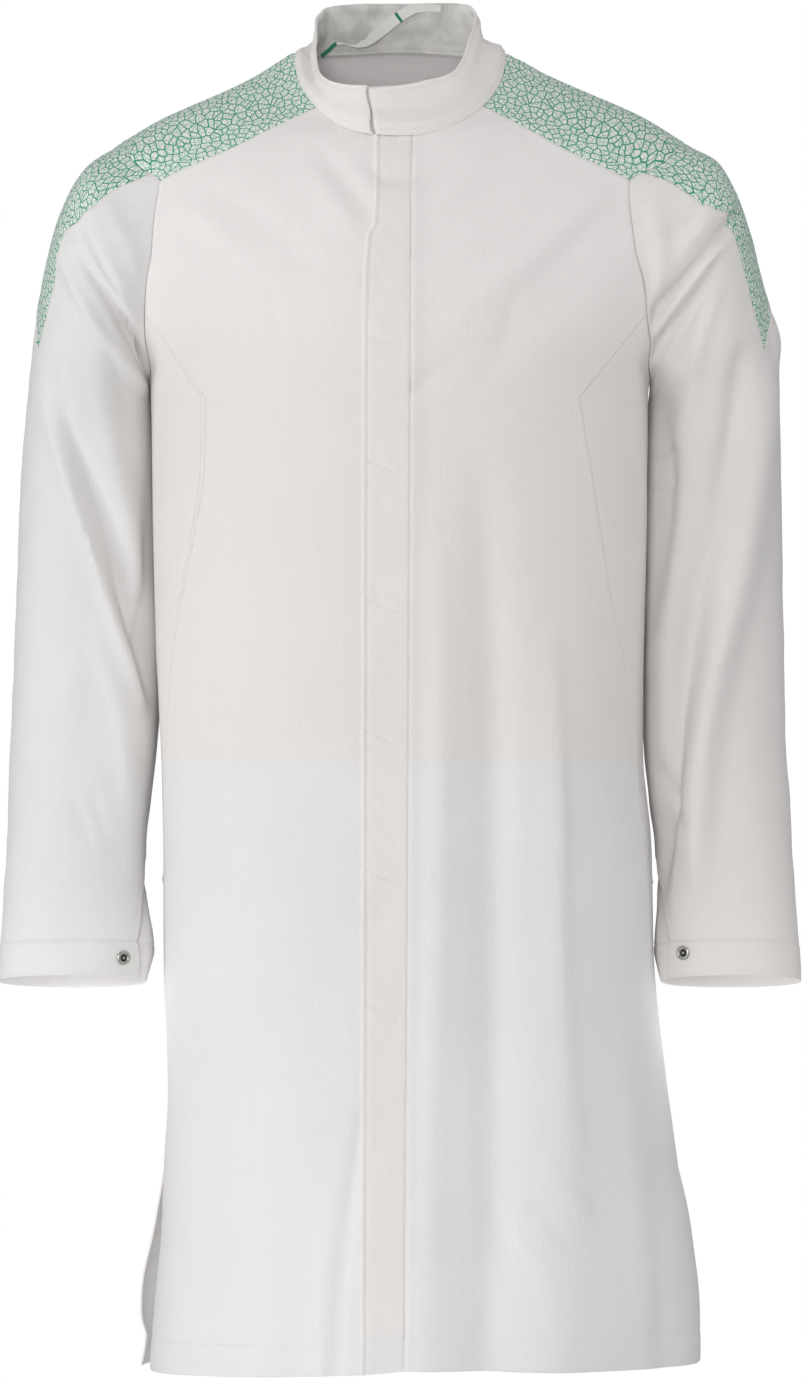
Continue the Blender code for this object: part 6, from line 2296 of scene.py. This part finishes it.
@dataclass
class SleeveSet:
    """A sleeve with its printed insert, cuff and ring snap."""

    shared: Wardrobe
    side: Side
    half_width: float = 185.0
    insert_width: float = 120.0
    cuff_length: float = 390.0
    cuff_stitch: float = 2.0
    ring_radius: float = 4.6
    ring_half: float = 1.4
    stud_radius: float = 3.9

    @property
    def form(self) -> SleeveForm:
        """This side's form."""
        return self.shared.sleeves[self.side]

    def rows_between(self, first: float, last: float, near: Sequence[float] = NEAR_SEAM) -> Array:
        """Ring places with about even spacing along the sleeve, finer at both ends.

        Args:
            first: the first place.
            last: the last place.
            near: distances from an end where rows are fine.

        Returns:
            Ring places.
        """
        places = self.form.places
        low, high = (float(np.interp(at, np.arange(len(places)), places)) for at in (first, last))
        steps = low + (high - low) * fine_steps(high - low, SLEEVE_SPACING, near)
        return np.interp(steps, places, np.arange(len(places)))

    def half(self, column: int, rows: Array) -> Sheet:
        """The front (1) or back (2) half of the sleeve, from the insert's edge to the underarm seam.

        Args:
            column: 1 for the front half, 2 for the back half.
            rows: ring places.

        Returns:
            The sheet.
        """
        shares = fine_steps(self.half_width, SLEEVE_SPACING, NEAR_SEAM)
        angles = self.form.half_angles(column, rows, shares)
        points = self.form.point(angles, rows[:, None])
        return Sheet(points, (0, -1, 0) if column == 1 else (0, 1, 0))

    def build_sleeve(self) -> None:
        """Make the sleeve as two sheets that join below the insert's tip and part at the underarm seam."""
        tip = self.rows_between(0.0, INSERT_TIP_AT)
        lower = self.rows_between(INSERT_TIP_AT, CUFF_LINE_AT)
        rows = np.unique(np.round(np.concatenate([tip, lower]), 6))
        halves = [self.half(column, rows) for column in (1, 2)]
        sewn = ramp(0.02, 0.2, INSERT_TIP_AT - rows)[:, None]
        open_slit = ramp(9.2, 9.5, rows)[:, None]
        thread = Thread(f"sleeve_{self.side.word}_stitches")
        for sheet in halves:
            inner = sheet.distance_to(Edge.FIRST_COLUMN)
            under = sheet.distance_to(Edge.LAST_COLUMN)
            relief = seam_profile(inner, 0.25, 0.45) * sewn
            relief += seam_profile(under) * (1 - open_slit) + open_slit * stitched_profile(under, 5.0)
            relief += sheet.seam(Edge.FIRST_ROW, 0.2, 0.0)
            relief += sheet.seam(Edge.LAST_ROW, 0.3, 0.2)
            sheet.move_out(relief)
        tip_row = int(np.argmin(np.abs(rows - INSERT_TIP_AT)))
        gaps = {Edge.FIRST_COLUMN: SMALL_PULL, Edge.LAST_COLUMN: SEAM_PULL}
        gaps |= {Edge.FIRST_ROW: SEAM_PULL, Edge.LAST_ROW: SMALL_PULL}
        for sheet in halves:
            joined = sheet.points[tip_row:, 0].copy()
            sheet.pull_in(gaps)
            sheet.points[tip_row:, 0] = joined
        shared_line = (halves[0].points[tip_row:, 0] + halves[1].points[tip_row:, 0]) / 2
        for sheet in halves:
            sheet.points[tip_row:, 0] = shared_line
        halves[1].cloth[..., 0] *= -1
        top = int(np.searchsorted(rows, INSERT_TIP_AT - 0.1))
        for sheet in halves:
            full = sheet.line(Edge.FIRST_COLUMN, 2.4, 0.1)
            thread.row((full[0][:top], full[1][:top]), start=3.0)
        name = f"sleeve_{self.side.word}"
        self.shared.cloth(name, halves, flat=(0.47, 0.68), area=0.235, thread=thread, sleeve=self.side)

    def build_insert(self) -> None:
        """Make the printed insert, from the armhole to just above its tip."""
        rows = self.rows_between(0.0, INSERT_TIP_AT - 0.03)
        shares = fine_steps(self.insert_width, SPACING, NEAR_SEAM)
        front = self.form.insert_edge(1, rows)[:, None]
        back = self.form.insert_edge(2, rows)[:, None]
        points = self.form.point(front + (back - front) * shares, rows[:, None])
        sheet = Sheet(points, (self.side.value, 0, 0), rule=len(shares) // 2)
        narrow = ramp(0.0, 30.0, np.linalg.norm(points[:, -1] - points[:, 0], axis=1))[:, None]
        relief = sheet.seam(Edge.FIRST_COLUMN, 0.2, 0.2) + sheet.seam(Edge.LAST_COLUMN, 0.2, 0.2)
        relief = relief * narrow + sheet.seam(Edge.FIRST_ROW, 0.2, 0.3)
        sheet.move_out(relief)
        sheet.pull_in({edge: SMALL_PULL for edge in Edge})
        name = f"insert_{self.side.word}"
        self.shared.cloth(name, [sheet], flat=(0.15, 0.2), area=0.018, printed=True)

    def build_cuff(self) -> None:
        """Make the cuff band from its lapping edge round to its tucked edge."""
        rows = self.rows_between(CUFF_LINE_AT, SLEEVE_END_AT, NEAR_SEAM[:4])
        shares = fine_steps(self.cuff_length, SLEEVE_SPACING, NEAR_SEAM[:4])
        over = np.interp(rows, SLIT[:, 0], SLIT[:, 1])[:, None]
        under = np.interp(rows, SLIT[:, 0], SLIT[:, 2])[:, None]
        points = self.form.point(over + (under - over) * shares, rows[:, None], CUFF_PROUD)
        middle = points[points.shape[0] // 2, points.shape[1] // 2]
        sheet = Sheet(points, middle - points.reshape(-1, 3).mean(axis=0))
        top, bottom = sheet.distance_to(Edge.FIRST_ROW), sheet.distance_to(Edge.LAST_ROW)
        lap = sheet.distance_to(Edge.FIRST_COLUMN)
        relief = -0.4 * bell(top, 0.0, 0.8) - 0.3 * bell(bottom, 0.0, 0.8)
        stitch = self.cuff_stitch
        relief += stitched_profile(top, stitch, 0.3) + stitched_profile(bottom, stitch, 0.35)
        relief += 0.9 * (1 - ramp(1.0, 9.0, lap)) + stitched_profile(lap, stitch, 0.3)
        sheet.doubled = np.full(relief.shape, DOUBLED)
        relief += 0.25 * blended_noise(points, 24.0, 51)
        sheet.move_out(relief)
        sheet.pull_in({Edge.FIRST_ROW: SMALL_PULL})
        thread = Thread(f"cuff_{self.side.word}_stitches")
        for edge in (Edge.FIRST_ROW, Edge.LAST_ROW, Edge.FIRST_COLUMN):
            thread.row(sheet.line(edge, stitch, 0.1), start=2.0, end=2.0)
        name = f"cuff_{self.side.word}"
        self.shared.cloth(name, [sheet], flat=(0.37, 0.032), thread=thread, sleeve=self.side)

    def build_snap(self) -> None:
        """Make the ring snap: a rolled ring with a stud in its sunk middle, set on the lapping edge."""
        angle, at = (np.array(value) for value in SNAPS[self.side])
        seat = self.form.point(angle, at, CUFF_PROUD)
        facing = self.form.outward(angle, at)
        name = f"snap_{self.side.word}"
        bpy.ops.object.select_all(action="DESELECT")
        radii = {"major_radius": self.ring_radius * MM, "minor_radius": self.ring_half * MM}
        bpy.ops.mesh.primitive_torus_add(**radii, major_segments=48, minor_segments=16)
        ring = bpy.context.active_object
        ring.data.transform(Matrix.Diagonal((1.0, 1.0, 0.72, 1.0)) @ Matrix.Translation((0, 0, 1.2 * MM)))
        bpy.ops.mesh.primitive_circle_add(
            vertices=48, radius=self.stud_radius * MM, fill_type="NGON", location=(0, 0, 0.5 * MM)
        )
        stud = bpy.context.active_object
        bpy.ops.object.mode_set(mode="EDIT")
        for inset, lift in ((0.9, -0.3), (0.9, -0.1), (0.45, 0.55), (0.5, 0.14)):
            bpy.ops.mesh.inset(thickness=inset * MM)
            bpy.ops.transform.translate(value=(0, 0, lift * MM))
        bpy.ops.object.mode_set(mode="OBJECT")
        bpy.ops.object.transform_apply(location=True, rotation=False, scale=False)
        bpy.ops.object.select_all(action="DESELECT")
        stud.select_set(True)
        ring.select_set(True)
        bpy.context.view_layer.objects.active = ring
        bpy.ops.object.join()
        turned = Vector(facing.tolist()).to_track_quat("Z", "Y").to_matrix().to_4x4()
        place = Matrix.Translation(Vector(((seat + facing * 0.2) * MM).tolist()))
        ring.data.materials.append(self.shared.nickel)
        ring.data.materials.append(self.shared.painted_recess_shade)
        # Faces of the sunk ring between the stud and the rolled ring take the near-black copy: painted shade.
        for face in ring.data.polygons:
            away = math.hypot(face.center.x, face.center.y)
            face.material_index = int(0.9 * MM < away < 3.2 * MM and face.center.z < 1.1 * MM)
        ring.data.transform(place @ turned)
        ring.data.shade_smooth()
        ring.name = ring.data.name = f"{name}_ring"
        self.shared.hang(ring, self.shared.nickel, name, "nickel")

    def build(self) -> None:
        """Make every piece of the sleeve."""
        self.build_sleeve()
        self.build_insert()
        self.build_cuff()
        self.build_snap()


@dataclass
class Collar:
    """The standing collar with its lapping end, and the hanger loop inside it."""

    shared: Wardrobe
    length: float = 520.0
    tall: float = 46.0
    edge_stitch: float = 4.0
    foot_stitch: float = 4.6
    # Tint of the collar's inner face, darker and browner than the cloth: painted shade.
    inside: Colour = rgb(0.70, 0.685, 0.655)

    def point(self, angle: Array, height: Array, out: Array | float = 0.0) -> Array:
        """Points of the collar: height 0 at the neck seam and 1 at the top edge.

        Args:
            angle: degrees round the neck.
            height: shares of the height.
            out: lift off the form.

        Returns:
            Points in millimetres.
        """
        body = self.shared.body
        angle, height = np.broadcast_arrays(np.asarray(angle, float), np.asarray(height, float))
        wrapped = (angle + 180.0) % 360.0 - 180.0
        foot, head = body.neck(angle), flow(COLLAR_TOP[:, 0], COLLAR_TOP[:, 1:], wrapped)
        around = body.neck(angle + 1) - body.neck(angle - 1)
        normal = unit(np.cross(around, head - foot))
        plain, shelf = np.moveaxis(flow(COLLAR_HOLLOW[:, 0], COLLAR_HOLLOW[:, 1:], height), -1, 0)
        rise_1, rise_2, fall_1, fall_2 = COLLAR_SIDES
        beside = ramp(rise_1, rise_2, np.abs(wrapped)) * (1 - ramp(fall_1, fall_2, np.abs(wrapped)))
        hollow = plain + (shelf - plain) * beside
        return foot + (head - foot) * height[..., None] + normal * (np.asarray(out) - hollow)[..., None]

    def angles(self) -> Array:
        """Neck directions of the solid's columns: from the under end, round the back, to the lapping end.

        Returns:
            Angles in degrees.
        """
        body = self.shared.body
        edge, stitch = (float(body.strip_x(PLACKET_TOP, share)) for share in (1.0, 0.0))
        first, left = float(body.neck_angle_at(edge)), float(body.neck_angle_at(stitch))
        middle = (edge + stitch) / 2
        steps = [body.neck_angle_at(COLLAR_UNDER_X), body.neck_angle_at(middle)]
        rear = (-YOKE_NECK_FRONT, -YOKE_NECK_BACK, -180.0, YOKE_NECK_BACK - 360.0, YOKE_NECK_FRONT - 360.0)
        corners = (first, *rear, left - 360.0)
        for start, end, columns in zip(corners, corners[1:], (3, 6, 3, 3, 6, 3)):
            steps += list(np.linspace(start, end, columns + 1))[:-1]
        steps += [corners[-1], *(body.neck_angle_at(x) - 360.0 for x in (middle, COLLAR_OVER_X))]
        return np.array(steps, float)

    def build_collar(self) -> None:
        """Make the collar. It winds outwards a little, so that its lapping end passes over its under end."""
        coarse = self.angles()
        shares = fine_steps(self.length, 4.0, NEAR_SEAM[:4])
        count = len(coarse)
        lap_angle = coarse[-1] + 360.0
        turns = np.interp(shares * (count - 1), np.arange(count), -coarse)
        close = -lap_angle + np.arange(-9.0, 14.0, 0.7)
        turns = np.union1d(turns[(turns < close[0] - 0.5) | (turns > close[-1] + 0.5)], close)
        shares = np.interp(turns, -coarse, np.arange(count) / (count - 1))
        angles = np.interp(shares * (count - 1), np.arange(count), coarse)
        heights = fine_steps(self.tall, 2.4, NEAR_SEAM[:4])
        wind = COLLAR_WALL + GAP + 0.2
        turned = (angles[0] - angles) / (angles[0] - angles[-1])
        lean = COLLAR_LEAN * np.clip((shares * (count - 1) - (count - 3)) / 2, 0, 1)
        lean += COLLAR_LEAN * ramp(4.0, -4.0, angles) * (1 - ramp(-30.0, -60.0, angles))
        leaning = angles[None, :] + lean[None, :] * heights[:, None]
        points = self.point(leaning, heights[:, None], (wind * (turned - 0.5))[None, :])
        lap = np.clip((shares * (count - 1) - (count - 4)) / 3, 0, 1)
        points[..., 2] -= COLLAR_LAP_DROP * lap[None, :] * ramp(0.4, 1.0, heights)[:, None]
        sheet = Sheet(points, (0, 1, 0))
        top, foot = sheet.distance_to(Edge.LAST_ROW), sheet.distance_to(Edge.FIRST_ROW)
        free = sheet.distance_to(Edge.LAST_COLUMN)
        relief = 0.7 * bell(top, 1.4, 1.3) + stitched_profile(top, self.edge_stitch, 0.6)
        foot_relief = 1.0 * bell(foot, 2.2, 1.4) - 0.35 * bell(foot, 0.0, 0.8)
        foot_relief += stitched_profile(foot, self.foot_stitch, 0.6) + 0.3 * bell(foot, 7.4, 1.8)
        relief += foot_relief * (1 - 0.8 * ramp(-72.0, -50.0, angles))
        relief += 0.5 * blended_noise(points, 40.0, 61) * ramp(0, 12, free)
        relief += 0.3 * blended_noise(points, 15.0, 62) * ramp(2, 9, foot)
        relief += 1.5 * blended_noise(points, 15.0, 63) * ramp(20.0, 34.0, points[..., 1]) * ramp(3, 12, foot)
        relief += self.lap_relief(points, angles, foot, free)
        sheet.doubled = np.full(relief.shape, DOUBLED)
        sheet.move_out(relief)
        thread = Thread("collar_stitches")
        thread.row(sheet.line(Edge.LAST_ROW, self.edge_stitch, 0.1), start=3.0, end=3.0)
        thread.row(sheet.line(Edge.FIRST_ROW, self.foot_stitch, 0.1), start=3.0, end=3.0)
        sheet.points[0] += (0.0, 0.0, -1.4)
        hidden = ramp(-74.0, -56.0, angles) * (angles < 10.0)
        sheet.points[:2] += sheet.normals()[:2] * (0.5 * hidden)[None, :, None]
        # The inner face gets a darker, strongly mottled copy of the white cloth: painted shade and painted
        # blotchy shade of crumpled cloth.
        tints = dict.fromkeys(("colour", "warm", "cool", "folded"), self.inside)
        painted_shade_inside = WovenCloth("white_cloth_inside", **tints, mottle_and_shade_blotches=0.22).make()
        self.shared.cloth("collar", [sheet], (0.53, 0.05), wall=COLLAR_WALL, thread=thread, painted_shade_inside=painted_shade_inside)

    def lap_relief(self, points: Array, angles: Array, foot: Array, free: Array) -> Array:
        """Shape the lap: its end stands out along a wavy edge, with the under layer filled out to meet it.

        Args:
            points: the collar's grid.
            angles: neck direction of each column.
            foot: distance of each point from the foot.
            free: distance of each point from the lapping end.

        Returns:
            How far each point moves out.
        """
        wave = 0.9 * np.sin(foot / 5.2 + 0.6) * bell(free, 0.0, 9.0)
        lift = COLLAR_LAP_LIFT * np.clip(1 - free / 58.0, 0, 1) ** 1.4
        lap = lift + 0.5 * bell(free, 3.4, 1.8) - 0.9 * bell(free, 0.0, 1.4) + 0.3 * wave
        beyond = points[:, -1, 0][:, None] - points[..., 0] - 0.7 - 0.6 * np.sin(foot / 4.4 + 0.5)
        filled = (COLLAR_LAP_LIFT + COLLAR_WALL + 0.9) * ramp(0.0, 1.5, beyond) * bell(beyond, 0.0, 40.0)
        under = ramp(-80.0, -60.0, angles) * (points[..., 1] < 0)
        return np.where(free < 60.0, lap, 0.0) + filled * under

    def build_loop(self) -> None:
        """Make the hanger loop, a tape that crosses the collar's inside with a slight twist."""
        count = 72
        at = np.linspace(0, len(LOOP) - 1, count + 1)
        read = flow(np.arange(len(LOOP)), LOOP, at)
        angle, height = 180.0 + read[:, 0], read[:, 1]
        inside = -(COLLAR_WALL + 2.2 + read[:, 2])
        middle = self.point(angle, height, inside)
        outward = unit(self.point(angle, height, 1.0) - self.point(angle, height, 0.0))
        along = np.gradient(middle, axis=0)
        across = unit(np.cross(along, outward))
        twist = np.radians(read[:, 4])[:, None]
        across = across * np.cos(twist) + unit(outward) * np.sin(twist)
        sides = np.linspace(-0.5, 0.5, 5)
        curl = 0.5 * (1 - (2 * sides) ** 2)
        points = middle[:, None] + across[:, None] * (sides * read[:, [3]])[:, :, None]
        points = points + outward[:, None] * curl[None, :, None] * 0.6
        sheet = Sheet(points, (0, 1, 0), rule=2)
        piece = mesh_from_grids("hanger_loop_tape", [sheet])
        thicken(piece, LOOP_WALL)
        self.shared.hang(piece, self.shared.tape, "hanger_loop", "tape")

    def build(self) -> None:
        """Make the collar and the loop."""
        self.build_collar()
        self.build_loop()


# Setting


@dataclass
class Studio:
    """Pale floor and surround, soft lights and the camera."""

    floor_z: float = -1.5
    floor_radius: float = 1.35
    camera_place: Place = (0.00083, -4.0, -0.528)
    frame_height: float = 1.15083
    ambient: float = 0.3
    lamps: tuple[tuple[str, Place, float, float], ...] = (
        ("left_front", (-3.3, -1.9, -0.3), 1.3, 17.6),
        ("left_side", (-3.6, -1.3, -0.6), 1.3, 20.2),
        ("left_low", (-2.4, -3.0, -1.6), 1.8, 23.0),
        ("front", (-0.3, -3.9, -0.1), 1.2, 59.0),
        ("top", (0.0, -0.7, 2.4), 1.6, 11.5),
        ("right_side", (3.4, -0.7, 0.0), 1.4, 21.0),
    )
    glows: tuple[tuple[str, Place, float], ...] = (
        ("skirt_glow", (0.0, 0.0, -1.0), 0.18),
        ("neck_glow", (0.0, -0.02, -0.14), 0.02),
        ("right_cuff_glow", (-0.27, 0.0, -0.8), 0.11),
        ("left_cuff_glow", (0.27, 0.0, -0.8), 0.11),
    )

    def build_floor(self) -> None:
        """Lay a pale floor that fades at its rim, in a white surround seen only by the camera."""
        bpy.ops.object.select_all(action="DESELECT")
        bpy.ops.mesh.primitive_circle_add(
            vertices=96, radius=self.floor_radius, fill_type="NGON", location=(0, 0, self.floor_z)
        )
        floor = bpy.context.active_object
        floor.name = "floor"
        bpy.ops.object.transform_apply(location=True)
        bench = Bench("floor_finish")
        place = bench.place()
        flat = bench.wire("ShaderNodeVectorMath", {"operation": "MULTIPLY"}, {0: place, 1: (1.0, 1.0, 0.0)})
        away = bench.wire("ShaderNodeVectorMath", {"operation": "LENGTH"}, {0: flat}, "Value")
        clear = away.between(0.75, self.floor_radius)
        bench.surface({"Base Color": rgb(0.82, 0.82, 0.81), "Roughness": 0.7, "Alpha": 1 - clear})
        floor.data.materials.append(bench.material)
        bpy.ops.mesh.primitive_uv_sphere_add(segments=48, ring_count=24, radius=14.0, location=(0, 0, -0.5))
        surround = bpy.context.active_object
        surround.name = "surround"
        bench = Bench("surround_finish")
        glow = {"Emission Color": rgb(1, 1, 1), "Emission Strength": 1.0}
        bench.surface({"Base Color": rgb(0, 0, 0), "Roughness": 1.0, **glow})
        surround.data.materials.append(bench.material)
        for ray in ("diffuse", "glossy", "transmission", "volume_scatter", "shadow"):
            setattr(surround, f"visible_{ray}", False)

    def area_light(self, name: str, place: Place, target: Place, size: float, power: float) -> None:
        """Add a square soft light.

        Args:
            name: its name.
            place: where it stands, in metres.
            target: what it points at.
            size: its side.
            power: its power in watts.
        """
        data = bpy.data.lights.new(name, "AREA")
        data.size, data.energy = size, power
        light = link(name, data)
        light.location = place
        light.rotation_mode = "QUATERNION"
        light.rotation_quaternion = (Vector(target) - Vector(place)).to_track_quat("-Z", "Y")

    def build_lights(self) -> None:
        """Set a pale ambience, large soft lamps and faint glows inside the hollows."""
        world = bpy.data.worlds.new("studio")
        world.use_nodes = True
        background = world.node_tree.nodes["Background"]
        background.inputs[0].default_value = rgb(1.0, 1.0, 1.0)
        background.inputs[1].default_value = self.ambient
        bpy.context.scene.world = world
        centre = (0.0, 0.0, -0.5)
        for name, place, size, power in self.lamps:
            self.area_light(name, place, centre, size, power)
        for name, place, power in self.glows:
            data = bpy.data.lights.new(name, "POINT")
            data.energy, data.shadow_soft_size = power, 0.05
            link(name, data).location = place

    def build_camera(self) -> None:
        """Place the camera level before the coat."""
        data = bpy.data.cameras.new("camera")
        data.sensor_width = 36.0
        data.lens = 18.0 * abs(self.camera_place[1]) / (self.frame_height / 2)
        data.clip_end = 100.0
        camera = link("camera", data)
        camera.location = self.camera_place
        camera.rotation_euler = (math.pi / 2, 0.0, 0.0)
        bpy.context.scene.camera = camera

    def build(self) -> None:
        """Set up the whole studio."""
        bpy.context.scene.view_settings.view_transform = "Standard"
        self.build_floor()
        self.build_lights()
        self.build_camera()


def main() -> None:
    """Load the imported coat, dress every piece and set the studio."""
    logging.basicConfig(level=logging.INFO, format="%(name)s: %(message)s")
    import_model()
    bpy.ops.object.select_all(action="DESELECT")
    shared = Wardrobe()
    panels = BodyPanels(shared)
    for side in Side:
        panels.build_front(side)
        panels.build_side(side)
        panels.build_yoke(side)
        SleeveSet(shared, side).build()
    panels.build_back()
    Placket(shared, panels).build()
    Collar(shared).build()
    Studio().build()
    bpy.context.view_layer.update()
    LOG.info("%d pieces", len(shared.made))


if __name__ == "__main__":
    main()
